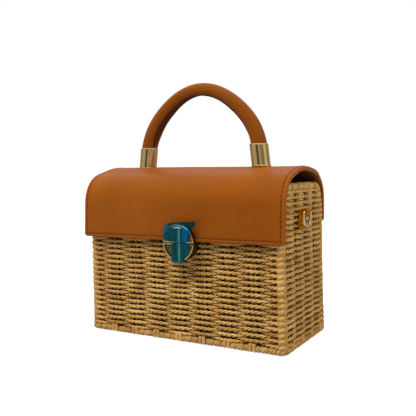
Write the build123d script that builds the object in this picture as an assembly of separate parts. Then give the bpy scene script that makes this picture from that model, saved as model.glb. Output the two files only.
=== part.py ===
from build123d import *
import os
from math import atan, atan2, cos, degrees, pi, radians, sin, tan

# A woven straw box handbag with a leather flap, a rolled leather handle and brass fittings.
# X runs along the front from left to right, the front faces -Y and Z is up.
# The origin is the middle of the base. All sizes are in millimetres.

# Basket, woven in one piece
basket_width = 200.0
basket_depth = 95.0
side_height = 140.0
shoulder_radius = 14.0
wall_thickness = 4.4
floor_thickness = 4.0
rope_thickness = 2.4
rope_relief = 1.4
foot_border_height = 6.0
arch_border_width = 4.2
long_wall_stake_count = 7
side_wall_stake_count = 3
corner_column_share = 2 / 3
weave_gap_width = 5.0
weave_gap_height = 0.8
weave_gap_offset = 4.5
weave_gap_rise_share = 0.54
ropes_per_gap = 16
fastener_gap = 3.2

# Lining
lining_thickness = 0.8
lining_clearance = 0.1
lining_drop = 2.0

# Flap and the leather panel that it hinges from
leather_thickness = 2.8
leather_clearance = 0.15
flap_drop = 49.6
flap_standoff = 5.4
flap_front_lap = 2.7
flap_shoulder_rise = 2.0
flap_ridge_rise = 15.5
flap_front_radius = 30.0
flap_back_radius = 20.0
flap_crown_radius = 65.0
flap_front_overhang = 3.3
flap_corner_radius = 3.0
ridge_offset = 1.5
back_panel_drop = 24.0
hinge_split = 0.3

# Handle and its ferrules
handle_left_of_centre = 1.6
handle_arch_radius = 60.0
handle_flattening = 2.0
handle_lean = 7.0
handle_end_diameter = 14.4
handle_top_diameter = 11.7
handle_insert = 12.0
handle_section_count = 11
ferrule_diameter = 16.8
ferrule_height = 19.5
ferrule_clearance = 0.05
handle_screw_diameter = 4.0
handle_screw_reach = 4.5
handle_screw_head_diameter = 7.6
handle_screw_head_height = 2.2
handle_washer_diameter = 11.0
handle_washer_thickness = 1.0
screw_clearance = 0.1
fastener_side_count = 6

# Clasp, a disc split across the middle
clasp_diameter = 31.0
clasp_right_of_centre = 6.5
clasp_below_flap_edge = 1.4
clasp_split = 1.2
clasp_projection = 9.7
clasp_rim_width = 1.0
clasp_face_recess = 0.5
clasp_seat_clearance = 0.05
clasp_plate_thickness = 1.2
clasp_lip_overlap = 0.7
clasp_lip_thickness = 1.2
button_clearance = 0.15
button_flange_thickness = 1.3
button_leg_width = 1.8
button_leg_height = 2.2
tongue_width = 12.0
tongue_thickness = 1.3
tongue_length = 7.0
tongue_root = 0.5
tongue_tip = 1.8
tongue_depth = 6.4
tongue_side_clearance = 0.6
catch_thickness = 0.4
catch_window_height = 1.8
catch_window_width = 5.0
catch_nose_clearance = 0.3
catch_wing_width = 19.0
catch_foot_width = 6.0
catch_foot_height = 3.2
catch_gap = 0.1
clasp_screw_diameter = 2.4
clasp_screw_spacing = 14.0
clasp_screw_drop = 8.0
clasp_screw_head_diameter = 4.6
clasp_screw_head_height = 1.4
clasp_rivet_spacing = 15.0
clasp_rivet_rise = 6.0
clasp_rivet_reach = 2.0
backing_thickness = 1.0
backing_margin = 3.0

# Peelable film on the clasp's face
film_thickness = 0.25
film_clearance = 0.02
film_upper_shares = [(-0.97, 0.05), (-1.06, 0.61), (-0.63, 1.12), (1.15, 1.2), (0.76, 0.61), (0.6, 0.05)]
film_lower_shares = [(-0.36, -0.05), (0.76, -0.05), (0.72, -0.35), (0.32, -1.09), (-0.49, -1.14)]

# Ring on each side wall
ring_front_of_centre = 8.0
ring_below_top = 25.4
ring_standoff = 5.0
ring_width = 18.0
ring_drop = 13.0
ring_wire = 2.2
ring_corner_radius = 7.0
ring_bore_clearance = 0.06
ring_plate_width = 16.0
ring_plate_top_width = 11.0
ring_plate_height = 16.8
ring_plate_thickness = 1.2
ring_plate_corner_radius = 4.0
ring_knuckle_diameter = 4.6
ring_knuckle_length = 6.0
ring_rivet_diameter = 2.4
ring_rivet_spacing = 7.0
ring_rivet_rise = 5.0
ring_rivet_head_diameter = 4.2
ring_rivet_head_height = 0.8

# One overrun for every cut
overrun = 5.0

# Values that follow from the sizes above
half_width = basket_width / 2
half_depth = basket_depth / 2
wall_top = side_height - shoulder_radius
inner_half_width = half_width - wall_thickness
inner_half_depth = half_depth - wall_thickness
hinge_y = half_depth + leather_clearance + leather_thickness
hinge_z = wall_top
flap_edge_y = -half_depth - flap_standoff
flap_edge_z = side_height - flap_drop
flap_corner_y = -half_depth - flap_front_lap
flap_corner_z = side_height + flap_shoulder_rise
flap_lean = atan((flap_corner_y - flap_edge_y) / (flap_corner_z - flap_edge_z))
ridge_y = -ridge_offset
ridge_corner_z = flap_corner_z + flap_ridge_rise
ridge_slope = atan(flap_ridge_rise / (hinge_y - ridge_y))
ridge_front_slope = atan(flap_ridge_rise / (ridge_y - flap_corner_y))
mean_slope = (ridge_slope + ridge_front_slope) / 2
ridge_z = ridge_corner_z - flap_crown_radius * (1 / cos(mean_slope) - 1)
flap_half_width = half_width + flap_front_overhang

handle_x = -handle_left_of_centre
handle_lean_angle = radians(handle_lean)
ferrule_top_x = handle_arch_radius * cos(handle_lean_angle)
ferrule_top_z = ridge_z + ferrule_height
ferrule_foot_x = ferrule_top_x + ferrule_height * tan(handle_lean_angle)
handle_centre_z = ferrule_top_z - handle_arch_radius * sin(handle_lean_angle)
washer_reach = handle_washer_diameter / 2 / cos(pi / fastener_side_count)
washer_sag = washer_reach**2 / (2 * (flap_crown_radius - leather_thickness))
washer_top_z = ridge_z - leather_thickness - washer_sag - clasp_seat_clearance

clasp_x = clasp_right_of_centre
clasp_z = flap_edge_z - clasp_below_flap_edge
clasp_radius = clasp_diameter / 2
clasp_face_y = -half_depth - clasp_projection
clasp_back_y = -half_depth - clasp_seat_clearance
clasp_inside_y = clasp_back_y - clasp_plate_thickness
tongue_angle = atan2(hinge_z - clasp_z, hinge_y + half_depth)
button_radius = clasp_radius - clasp_rim_width - button_clearance
flange_front_y = clasp_face_y + clasp_lip_thickness + button_clearance
flange_back_y = flange_front_y + button_flange_thickness
lining_face_y = -inner_half_depth + lining_clearance + lining_thickness
lining_face_x = inner_half_width - lining_clearance - lining_thickness

ring_x = half_width + ring_standoff
ring_bar_height = side_height - ring_below_top
ring_y = -ring_front_of_centre
ring_radius = ring_wire / 2
ring_plate_inner_x = half_width + clasp_seat_clearance
ring_plate_outer_x = ring_plate_inner_x + ring_plate_thickness
ring_plate_base_z = ring_bar_height + ring_knuckle_diameter / 2 - ring_plate_height


def block(low, high):
    """A box between two opposite corners."""
    size = [b - a for a, b in zip(low, high)]
    middle = [(a + b) / 2 for a, b in zip(low, high)]
    return Pos(*middle) * Box(*size)


def rod(radius, start, end):
    """A round bar between two points."""
    span = Vector(*end) - Vector(*start)
    return extrude(Plane(origin=start, z_dir=span) * Circle(radius), amount=span.length)


def peg(radius, start, end):
    """A fastener's shank, head or hole, with flat sides."""
    span = Vector(*end) - Vector(*start)
    section = RegularPolygon(radius, fastener_side_count, major_radius=False)
    return extrude(Plane(origin=start, z_dir=span) * section, amount=span.length)


# Each wall: the corner that it starts from, the way it runs and the way it faces.
walls = [
    (Vector(-half_width, -half_depth), Vector(1, 0), Vector(0, -1), basket_width, long_wall_stake_count),
    (Vector(half_width, -half_depth), Vector(0, 1), Vector(1, 0), basket_depth, side_wall_stake_count),
    (Vector(half_width, half_depth), Vector(-1, 0), Vector(0, 1), basket_width, long_wall_stake_count),
    (Vector(-half_width, half_depth), Vector(0, -1), Vector(-1, 0), basket_depth, side_wall_stake_count),
]
ropes = 2 * round((wall_top - foot_border_height) / (2 * rope_thickness))
rope_pitch = (wall_top - foot_border_height) / ropes
levels = [foot_border_height + i * rope_pitch for i in range(ropes + 1)]


def wall_pitch(length, stakes):
    """Distance between a wall's stakes, with part of a column left at each corner."""
    return length / (stakes + 2 * corner_column_share)


def stake_places(length, stakes):
    """How far along a wall each of its stakes stands."""
    pitch = wall_pitch(length, stakes)
    return [pitch * (corner_column_share + i + 0.5) for i in range(stakes)]


def on_wall(wall, along, out, z):
    """A point on a wall: along it, out from the valleys of the weave, and up."""
    start, run, face, _, _ = walls[wall % 4]
    spot = start + run * along + face * (out - rope_relief)
    return (spot.X, spot.Y, z)


def facet(points):
    return Face(Wire.make_polygon(points))


# Stations of the weave round the basket: each corner, then the stakes of the wall after it.
stations = []
for wall, (_, _, _, length, stakes) in enumerate(walls):
    stations.append((wall, None))
    stations += [(wall, along) for along in stake_places(length, stakes)]


def weave_point(station, level):
    """Ropes pass in front of every other stake, and the next rope up takes the stakes between."""
    inside = 0 < level < ropes
    out = rope_relief if inside and (station + level) % 2 else 0
    wall, along = stations[station % len(stations)]
    corner = rope_relief - out
    return on_wall(wall, corner if along is None else along, out, levels[level])


def woven_facets():
    """The ropes' bulges, one over each stake, with a groove between each pair of ropes."""
    for i in range(len(stations)):
        for level in range(ropes):
            low = [weave_point(i, level), weave_point(i + 1, level)]
            high = [weave_point(i, level + 1), weave_point(i + 1, level + 1)]
            if (i + level) % 2:
                yield facet([low[0], low[1], high[0]])
                yield facet([low[1], high[1], high[0]])
            else:
                yield facet([low[0], low[1], high[1]])
                yield facet([low[0], high[1], high[0]])


def wall_marks(wall):
    """The foot of the weave along one wall, from its first corner to its last."""
    _, _, _, length, stakes = walls[wall]
    return [rope_relief] + stake_places(length, stakes) + [length - rope_relief]


def woven_shell():
    """The basket up to the top of its front: woven walls, a foot border and a flat floor."""
    faces = list(woven_facets())
    for wall in range(4):
        length = walls[wall][3]
        middle = foot_border_height / 2
        crest = [on_wall(wall, length, rope_relief, middle), on_wall(wall, 0, rope_relief, middle)]
        ends = (rope_relief, length - rope_relief)
        faces.append(facet([on_wall(wall, s, 0, 0) for s in ends] + crest))
        faces.append(facet([on_wall(wall, s, 0, foot_border_height) for s in wall_marks(wall)] + crest))
    inner = [(-1, -1), (1, -1), (1, 1), (-1, 1)]
    floor = [(x * inner_half_width, y * inner_half_depth, floor_thickness) for x, y in inner]
    brim = [(x, y, wall_top) for x, y, _ in floor]
    for i in range(4):
        faces.append(facet([floor[i - 1], floor[i], brim[i], brim[i - 1]]))
    faces.append(facet(floor))
    faces.append(facet([on_wall(w, rope_relief, 0, 0) for w in range(4)]))
    outline = [on_wall(w, s, 0, wall_top) for w in range(4) for s in wall_marks(w)[:-1]]
    faces.append(Face(Wire.make_polygon(outline), [Wire.make_polygon(brim)]))
    return Solid(Shell(faces))


def side_arch():
    """The rounded top of the right side wall, with ribs of rope under a border."""
    valley_x = half_width - rope_relief
    half_span = half_depth - rope_relief
    outline = Rectangle(2 * half_span, 2 * shoulder_radius)
    outline = fillet(outline.vertices().group_by(Axis.Y)[-1], shoulder_radius)
    inner_face = Plane.YZ.offset(inner_half_width) * Pos(0, wall_top)
    above = block((0, -basket_depth, wall_top), (basket_width, basket_depth, 2 * side_height))
    cheek = extrude(inner_face * outline, amount=wall_thickness)
    ribs_high = [wall_top + i * 2 * rope_pitch for i in range(int(shoulder_radius / rope_pitch) + 2)]
    section = [(inner_half_width, wall_top), (valley_x, wall_top)]
    for low, high in zip(ribs_high, ribs_high[1:]):
        section += [(half_width, (low + high) / 2), (valley_x, high)]
    section.append((inner_half_width, ribs_high[-1]))
    ribs = extrude(Plane.XZ * make_face(Polyline(*section, close=True)), amount=basket_depth, both=True)
    inset = Rectangle(2 * (half_span - arch_border_width), 2 * (shoulder_radius - arch_border_width))
    inset = fillet(inset.vertices().group_by(Axis.Y)[-1], shoulder_radius - arch_border_width)
    window = extrude(inner_face * inset, amount=wall_thickness)
    return (cheek - window & above) + (ribs & window & above)


def weave_gaps():
    """Narrow gaps beside the stakes, where a rope passes behind and leaves a hole in the wall."""
    gaps = []
    for station, (wall, along) in enumerate(stations):
        if along is None:
            continue
        start, run, face, _, _ = walls[wall]
        across = [abs(c) * weave_gap_width + abs(d) * 3 * wall_thickness for c, d in zip(run, face)]
        first = ropes_per_gap // 2 + station % 2
        for i, low in enumerate(levels[first:-1:ropes_per_gap]):
            beside = weave_gap_offset if i % 2 else -weave_gap_offset
            spot = start + run * (along + beside)
            z = low + rope_pitch * weave_gap_rise_share
            gaps.append(Pos(spot.X, spot.Y, z) * Box(across[0], across[1], weave_gap_height))
    return gaps


def clasp_screw_places():
    for side in (-1, 1):
        yield clasp_x + side * clasp_screw_spacing / 2, clasp_z - clasp_screw_drop


def ring_rivet_places():
    for side in (-1, 1):
        yield ring_y + side * ring_rivet_spacing / 2, ring_plate_base_z + ring_rivet_rise


def fastener_gaps():
    """Gaps between the ropes where the fittings' fasteners pass through the wall and the lining."""
    gaps = []
    for x, z in clasp_screw_places():
        gaps.append(Pos(x, -half_depth, z) * Box(fastener_gap, 4 * wall_thickness, fastener_gap))
    for y, z in ring_rivet_places():
        for x in (-half_width, half_width):
            gaps.append(Pos(x, y, z) * Box(4 * wall_thickness, fastener_gap, fastener_gap))
    return gaps


def make_basket():
    brim = (wall_thickness - rope_relief) / 2
    bead = Polygon((-brim, 0), (brim, 0), (brim / 2, brim), (-brim / 2, brim), align=None)
    bead_y = inner_half_depth + brim
    solid = woven_shell()
    for y in (-bead_y, bead_y):
        solid += extrude(Plane.YZ * Pos(y, wall_top) * bead, amount=inner_half_width, both=True)
    arch = side_arch()
    solid += arch
    solid += mirror(arch, about=Plane.YZ)
    return solid - weave_gaps() - fastener_gaps()


def make_lining():
    x = inner_half_width - lining_clearance
    y = inner_half_depth - lining_clearance
    z = floor_thickness + lining_clearance
    top = wall_top - lining_drop
    cloth = block((-x, -y, z), (x, y, top))
    t = lining_thickness
    return cloth - block((t - x, t - y, z + t), (x - t, y - t, top + overrun)) - fastener_gaps()


def flap_profile():
    """The flap's section from its front edge, over the ridge, to the fold at the back."""
    outer = FilletPolyline(
        (flap_edge_y, flap_edge_z),
        (flap_corner_y, flap_corner_z),
        (ridge_y, ridge_corner_z),
        (hinge_y, flap_corner_z),
        (hinge_y, hinge_z + hinge_split / 2),
        radius=[flap_front_radius, flap_crown_radius, flap_back_radius],
    )
    return make_face(offset(outer, amount=leather_thickness, side=Side.RIGHT, closed=True))


def make_flap():
    sheet = extrude(Plane.YZ * flap_profile(), amount=flap_half_width, both=True)
    plan = Polyline(
        (-flap_half_width, flap_edge_y - overrun),
        (flap_half_width, flap_edge_y - overrun),
        (flap_half_width, flap_edge_y),
        (half_width, hinge_y),
        (half_width, hinge_y + overrun),
        (-half_width, hinge_y + overrun),
        (-half_width, hinge_y),
        (-flap_half_width, flap_edge_y),
        close=True,
    )
    sheet &= extrude(make_face(plan), amount=2 * side_height)
    front = Rectangle(2 * flap_half_width, 2 * side_height, align=(Align.CENTER, Align.MIN))
    front = fillet(front.vertices().group_by(Axis.Y)[0], flap_corner_radius)
    sheet &= extrude(Plane.XZ * Pos(0, flap_edge_z) * front, amount=basket_depth, both=True)
    hole = handle_screw_diameter / 2 + screw_clearance
    for x in (handle_x - ferrule_foot_x, handle_x + ferrule_foot_x):
        sheet -= peg(hole, (x, ridge_y, side_height), (x, ridge_y, ridge_corner_z))
    for start, end in clasp_rivet_lines():
        sheet -= peg(clasp_screw_diameter / 2 + screw_clearance, start, end)
    return sheet


def make_flap_back():
    """The part of the leather that is sewn to the back wall."""
    low = (-half_width, hinge_y - leather_thickness, hinge_z - back_panel_drop)
    return block(low, (half_width, hinge_y, hinge_z - hinge_split / 2))


def handle_arc():
    upright = Plane(origin=(handle_x, ridge_y, handle_centre_z), x_dir=(1, 0, 0), z_dir=(0, -1, 0))
    return upright * CenterArc((0, 0), handle_arch_radius, handle_lean, 180 - 2 * handle_lean)


def make_handle():
    """A rolled leather tube in a slightly pointed arch. Its thick ends go straight into the ferrules."""
    arc = handle_arc()
    middle = Vector(handle_x, ridge_y, handle_centre_z)
    sections = []
    for i in range(-1, handle_section_count + 1):
        t = min(max(i, 0), handle_section_count - 1) / (handle_section_count - 1)
        swell = (2 * t - 1) ** 2
        diameter = handle_top_diameter + (handle_end_diameter - handle_top_diameter) * swell
        centre = arc @ t
        centre += (middle - centre).normalized() * handle_flattening * sin(2 * pi * t) ** 2
        if i < 0:
            centre -= (arc % t) * handle_insert
        if i == handle_section_count:
            centre += (arc % t) * handle_insert
        across = Plane(origin=centre, x_dir=(0, 1, 0), z_dir=arc % t)
        sections.append(across * Circle(diameter / 2))
    return loft(sections, ruled=True)


def make_ferrule(side):
    """A brass cup on the handle's end, with a solid foot cut level on the flap's ridge."""
    top = Vector(handle_x + side * ferrule_top_x, ridge_y, ferrule_top_z)
    down = Vector(side * sin(handle_lean_angle), 0, -cos(handle_lean_angle))
    cup = rod(ferrule_diameter / 2, top, top + down * (ferrule_height + overrun))
    bore = handle_end_diameter / 2 + ferrule_clearance
    cup -= rod(bore, top - down * overrun, top + down * (handle_insert + ferrule_clearance))
    foot = ridge_z + clasp_seat_clearance
    cup -= block((-basket_width, -basket_depth, 0), (basket_width, basket_depth, foot))
    x = handle_x + side * ferrule_foot_x
    hole = handle_screw_diameter / 2 + screw_clearance / 2
    return cup - peg(hole, (x, ridge_y, side_height), (x, ridge_y, foot + handle_screw_reach))


def make_handle_screws():
    under = washer_top_z - handle_washer_thickness
    screws = []
    for x in (handle_x - ferrule_foot_x, handle_x + ferrule_foot_x):
        tip = ridge_z + handle_screw_reach
        shank = peg(handle_screw_diameter / 2, (x, ridge_y, under), (x, ridge_y, tip))
        head_foot = (x, ridge_y, under - handle_screw_head_height)
        screws.append(shank + peg(handle_screw_head_diameter / 2, head_foot, (x, ridge_y, under)))
    return screws


def make_handle_washers():
    washers = []
    for x in (handle_x - ferrule_foot_x, handle_x + ferrule_foot_x):
        low = (x, ridge_y, washer_top_z - handle_washer_thickness)
        high = (x, ridge_y, washer_top_z)
        bore = handle_screw_diameter / 2 + screw_clearance
        washers.append(peg(handle_washer_diameter / 2, low, high) - peg(bore, low, high))
    return washers


def clasp_half(radius, side, edge, front, back):
    """A half disc of the clasp: side is 1 above the split or -1 below it."""
    disc = Circle(radius) & Pos(0, side * (radius + edge)) * Rectangle(2 * radius, 2 * radius)
    facing = Plane(origin=(clasp_x, back, clasp_z), x_dir=(1, 0, 0), z_dir=(0, -1, 0))
    return extrude(facing * disc, amount=back - front)


def flap_face_y(z):
    """The flap's outer face at a height on its flat front."""
    return flap_edge_y + (z - flap_edge_z) * tan(flap_lean)


def behind_flap_face(clearance):
    """Everything behind the flat front of the flap, above its lower edge."""
    low = flap_edge_z - clearance
    high = flap_corner_z
    face = [(flap_face_y(z) - clearance, z) for z in (low, high)]
    return extrude(Plane.YZ * Polygon(*face, (0, high), (0, low), align=None), amount=basket_width, both=True)


def clasp_rivet_lines():
    """From inside the upper clasp to behind the flap, one line for each rivet."""
    z = clasp_z + clasp_rivet_rise
    for side in (-1, 1):
        x = clasp_x + side * clasp_rivet_spacing / 2
        front = flap_face_y(z) - clasp_rivet_reach
        yield (x, front, z), (x, flap_face_y(z) + leather_thickness + backing_thickness, z)


def tongue_bar(width, thickness, low, high):
    """A flat bar on the line that the tongue follows as the flap lifts."""
    bar = block((-width / 2, -thickness / 2, -low), (width / 2, thickness / 2, high))
    lip_z = clasp_z + clasp_split / 2
    centre_y = -half_depth - tongue_depth + tongue_thickness / 2
    return Pos(clasp_x, centre_y, lip_z) * Rot(degrees(tongue_angle), 0, 0) * bar


def make_clasp_upper():
    edge = clasp_split / 2
    plate = clasp_half(clasp_radius, 1, edge, clasp_face_y, flap_edge_y + leather_thickness)
    recess = clasp_face_y + clasp_face_recess
    face = clasp_half(clasp_radius - clasp_rim_width, 1, edge + clasp_rim_width, clasp_face_y, recess)
    plate = plate - face - behind_flap_face(clasp_seat_clearance)
    plate += tongue_bar(tongue_width, tongue_thickness, tongue_length, tongue_root)
    window_foot = tongue_length - tongue_tip
    window_head = window_foot - catch_window_height
    window = tongue_bar(catch_window_width, 4 * tongue_thickness, window_foot, -window_head)
    for start, end in clasp_rivet_lines():
        plate -= peg(clasp_screw_diameter / 2 + screw_clearance / 2, start, end)
    return plate - window


def make_clasp_upper_backing():
    """A thin plate behind the flap that the clasp's rivets are closed on."""
    half_span = clasp_rivet_spacing / 2 + backing_margin
    z = clasp_z + clasp_rivet_rise
    low = (-half_span, clasp_seat_clearance, -backing_margin)
    plate = block(low, (half_span, backing_thickness, backing_margin))
    back_y = flap_face_y(z) + leather_thickness / cos(flap_lean)
    plate = Pos(clasp_x, back_y, z) * Rot(degrees(-flap_lean), 0, 0) * plate
    hole = clasp_screw_diameter / 2 + screw_clearance / 2
    for start, end in clasp_rivet_lines():
        plate -= peg(hole, start, (end[0], end[1] + overrun, end[2]))
    return plate


def make_clasp_rivets():
    rivets = []
    for start, end in clasp_rivet_lines():
        seat = end[1] + clasp_screw_head_diameter / 2 * tan(flap_lean) + clasp_seat_clearance
        head = (end[0], seat + clasp_screw_head_height / 2, end[2])
        shank = peg(clasp_screw_diameter / 2, start, head)
        rivets.append(shank + peg(clasp_screw_head_diameter / 2, (end[0], seat, end[2]), head))
    return rivets


def make_clasp_base():
    """The lower half's cup, with a lip that keeps the button in and a slot for the tongue."""
    edge = clasp_split / 2
    cup = clasp_half(clasp_radius, -1, edge, clasp_face_y, clasp_back_y)
    lip_y = clasp_face_y + clasp_lip_thickness
    pocket_radius = clasp_radius - clasp_rim_width
    cup -= clasp_half(pocket_radius, -1, edge + clasp_rim_width, lip_y, clasp_inside_y)
    mouth = clasp_lip_overlap + clasp_rim_width
    cup -= clasp_half(clasp_radius - mouth, -1, edge + mouth, clasp_face_y, lip_y)
    slot_width = tongue_width + 2 * tongue_side_clearance
    slot_thickness = tongue_thickness + 2 * tongue_side_clearance
    cup -= tongue_bar(slot_width, slot_thickness, tongue_length + tongue_side_clearance, overrun)
    hole = clasp_screw_diameter / 2 + screw_clearance / 2
    for x, z in clasp_screw_places():
        cup -= peg(hole, (x, clasp_inside_y - clasp_plate_thickness, z), (x, 0, z))
    return cup


def catch_line(z):
    """The back of the tongue at a height, where the catch leans on it."""
    lip_z = clasp_z + clasp_split / 2
    back = -half_depth - tongue_depth + tongue_thickness
    return back + (lip_z - z) * tan(tongue_angle)


window_down = tongue_length - tongue_tip - catch_window_height / 2
window_z = clasp_z + clasp_split / 2 - window_down * cos(tongue_angle)
wing_back_y = catch_line(window_z - button_leg_height / 2) + catch_nose_clearance + catch_thickness


def make_clasp_button():
    """The half disc that is pressed in, with two legs that reach past the tongue to the catch."""
    edge = clasp_split / 2 + clasp_rim_width + button_clearance
    button = clasp_half(button_radius, -1, edge, flange_front_y, flange_back_y)
    step = clasp_lip_overlap + button_clearance
    face_y = clasp_face_y + clasp_face_recess
    button += clasp_half(button_radius - step, -1, edge + step, face_y, flange_front_y)
    leg_end_y = wing_back_y - catch_thickness - catch_gap
    for side in (-1, 1):
        x = clasp_x + side * (tongue_width / 2 + tongue_side_clearance + button_leg_width / 2)
        low = (x - button_leg_width / 2, flange_back_y, window_z - button_leg_height / 2)
        button += block(low, (x + button_leg_width / 2, leg_end_y, window_z + button_leg_height / 2))
    return button


def make_clasp_catch():
    """A leaf spring on the cup's floor whose ramped nose stands in the tongue's window."""
    foot_top = clasp_z - clasp_radius + clasp_rim_width + 2 * catch_foot_height
    foot_y = clasp_inside_y - catch_gap / 2
    low = (clasp_x - catch_foot_width / 2, foot_y - catch_thickness, foot_top - catch_foot_height)
    foot = block(low, (clasp_x + catch_foot_width / 2, foot_y, foot_top))
    top_z = window_z + button_leg_height / 2
    wing_low = window_z - button_leg_height / 2
    rise = [
        (foot_y, foot_top),
        (wing_back_y, wing_low),
        (wing_back_y - catch_thickness, wing_low),
        (foot_y - catch_thickness, foot_top),
    ]
    middle = Plane.YZ.offset(clasp_x)
    arm = extrude(middle * Polygon(*rise, align=None), amount=catch_foot_width / 2, both=True)
    wing_front = wing_back_y - catch_thickness
    wing_half = catch_wing_width / 2
    wing = block((clasp_x - wing_half, wing_front, wing_low), (clasp_x + wing_half, wing_back_y, top_z))
    reach = wing_front - catch_nose_clearance - tongue_thickness / 2
    nose_half = catch_window_height / 2 - catch_nose_clearance
    ramp = [(wing_front, window_z - nose_half), (reach, window_z), (wing_front, window_z + nose_half)]
    nose_width = catch_window_width / 2 - catch_nose_clearance
    nose = extrude(middle * Polygon(*ramp, align=None), amount=nose_width, both=True)
    return foot + arm + wing + nose


def make_clasp_base_backing():
    """The plate inside the bag that clamps the lining and the wall to the clasp."""
    places = list(clasp_screw_places())
    low = (places[0][0] - backing_margin, lining_face_y + clasp_seat_clearance, places[0][1] - backing_margin)
    high = (places[1][0] + backing_margin, low[1] + backing_thickness, places[1][1] + backing_margin)
    plate = block(low, high)
    for x, z in places:
        plate -= peg(clasp_screw_diameter / 2 + screw_clearance / 2, (x, -half_depth, z), (x, 0, z))
    return plate


def make_clasp_screws():
    seat = lining_face_y + 2 * clasp_seat_clearance + backing_thickness
    screws = []
    for x, z in clasp_screw_places():
        head = (x, seat + clasp_screw_head_height, z)
        shank = peg(clasp_screw_diameter / 2, (x, clasp_inside_y + clasp_seat_clearance, z), (x, seat, z))
        screws.append(shank + peg(clasp_screw_head_diameter / 2, (x, seat, z), head))
    return screws


def make_film(shares):
    """A thin flat film on the clasp's rim, its corners given as shares of the clasp's radius."""
    outline = [(u * clasp_radius, v * clasp_radius) for u, v in shares]
    back = clasp_face_y - film_clearance
    facing = Plane(origin=(clasp_x, back, clasp_z), x_dir=(1, 0, 0), z_dir=(0, -1, 0))
    return extrude(facing * make_face(Polyline(*outline, close=True)), amount=film_thickness)


def make_ring_plate():
    """The right side's bell-shaped plate with a knuckle for the ring's bar."""
    low_half = ring_plate_width / 2
    top_half = ring_plate_top_width / 2
    bell = Polygon(
        (-low_half, 0), (low_half, 0), (low_half, ring_plate_height / 3), (top_half, ring_plate_height),
        (-top_half, ring_plate_height), (-low_half, ring_plate_height / 3), align=None)
    bell = fillet(bell.vertices().group_by(Axis.Y)[0], ring_plate_corner_radius)
    seat = Plane.YZ.offset(ring_plate_inner_x) * Pos(ring_y, ring_plate_base_z)
    plate = extrude(seat * bell, amount=ring_plate_thickness)
    half_length = ring_knuckle_length / 2
    knuckle_radius = ring_knuckle_diameter / 2
    start = (ring_x, ring_y - half_length, ring_bar_height)
    end = (ring_x, ring_y + half_length, ring_bar_height)
    web_low = (ring_plate_outer_x, ring_y - half_length, ring_bar_height)
    plate += rod(knuckle_radius, start, end)
    plate += block(web_low, (ring_x, ring_y + half_length, ring_bar_height + knuckle_radius))
    plate -= rod(ring_radius + ring_bore_clearance, start, end)
    for y, z in ring_rivet_places():
        hole = ring_rivet_diameter / 2 + screw_clearance / 2
        plate -= peg(hole, (half_width, y, z), (ring_x, y, z))
    return plate


def make_ring():
    """The right side's ring: a round bar in the knuckle and a flat-sided bow below it."""
    outer = Rectangle(ring_width, ring_drop, align=(Align.CENTER, Align.MAX))
    outer = fillet(outer.vertices().group_by(Axis.Y)[0], ring_corner_radius)
    inner = Rectangle(ring_width - 2 * ring_wire, ring_drop - ring_wire, align=(Align.CENTER, Align.MAX))
    inner = fillet(inner.vertices().group_by(Axis.Y)[0], ring_corner_radius - ring_wire)
    facing = Plane.YZ.offset(ring_x) * Pos(ring_y, ring_bar_height)
    bow = extrude(facing * (outer - inner), amount=ring_radius, both=True)
    half = ring_width / 2 - ring_wire
    bar = rod(ring_radius, (ring_x, ring_y - half, ring_bar_height), (ring_x, ring_y + half, ring_bar_height))
    return bow + bar


def make_ring_backing():
    """The right side's plate inside the bag, behind the lining."""
    places = list(ring_rivet_places())
    high_x = lining_face_x - clasp_seat_clearance
    low = (high_x - backing_thickness, places[0][0] - backing_margin, places[0][1] - backing_margin)
    plate = block(low, (high_x, places[1][0] + backing_margin, places[1][1] + backing_margin))
    for y, z in places:
        plate -= peg(ring_rivet_diameter / 2 + screw_clearance / 2, (0, y, z), (half_width, y, z))
    return plate


def make_ring_rivets():
    """Both sides' rivets, with a head on the plate and one inside the bag."""
    inside = lining_face_x - 2 * clasp_seat_clearance - backing_thickness
    outside = ring_plate_outer_x + clasp_seat_clearance
    rivets = []
    for y, z in ring_rivet_places():
        ends = (inside - ring_rivet_head_height, outside + ring_rivet_head_height)
        rivet = peg(ring_rivet_diameter / 2, (ends[0], y, z), (ends[1], y, z))
        rivet += peg(ring_rivet_head_diameter / 2, (ends[0], y, z), (inside, y, z))
        rivet += peg(ring_rivet_head_diameter / 2, (outside, y, z), (ends[1], y, z))
        rivets += [rivet, mirror(rivet, about=Plane.YZ)]
    return rivets


ring_plate = make_ring_plate()
ring = make_ring()
ring_backing = make_ring_backing()

parts = {
    "basket": make_basket(),
    "lining": make_lining(),
    "flap_back": make_flap_back(),
    "flap": make_flap(),
    "handle": make_handle(),
    "ferrules": [make_ferrule(-1), make_ferrule(1)],
    "handle_screws": make_handle_screws(),
    "handle_washers": make_handle_washers(),
    "clasp_upper": make_clasp_upper(),
    "clasp_upper_backing": make_clasp_upper_backing(),
    "clasp_rivets": make_clasp_rivets(),
    "clasp_base": make_clasp_base(),
    "clasp_button": make_clasp_button(),
    "clasp_catch": make_clasp_catch(),
    "clasp_base_backing": make_clasp_base_backing(),
    "clasp_screws": make_clasp_screws(),
    "film_upper": make_film(film_upper_shares),
    "film_lower": make_film(film_lower_shares),
    "ring_plates": [ring_plate, mirror(ring_plate, about=Plane.YZ)],
    "ring_right": ring,
    "ring_left": mirror(ring, about=Plane.YZ),
    "ring_backings": [ring_backing, mirror(ring_backing, about=Plane.YZ)],
    "ring_rivets": make_ring_rivets(),
}

os.makedirs("parts", exist_ok=True)
for name, shape in parts.items():
    solids = shape if isinstance(shape, list) else [shape]
    export_step(Compound([s for piece in solids for s in piece.solids()]), f"parts/{name}.step")
print(f"{len(parts)} parts, {2 * flap_half_width:.1f} wide at the flap, ridge at {ridge_z:.1f}")
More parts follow.
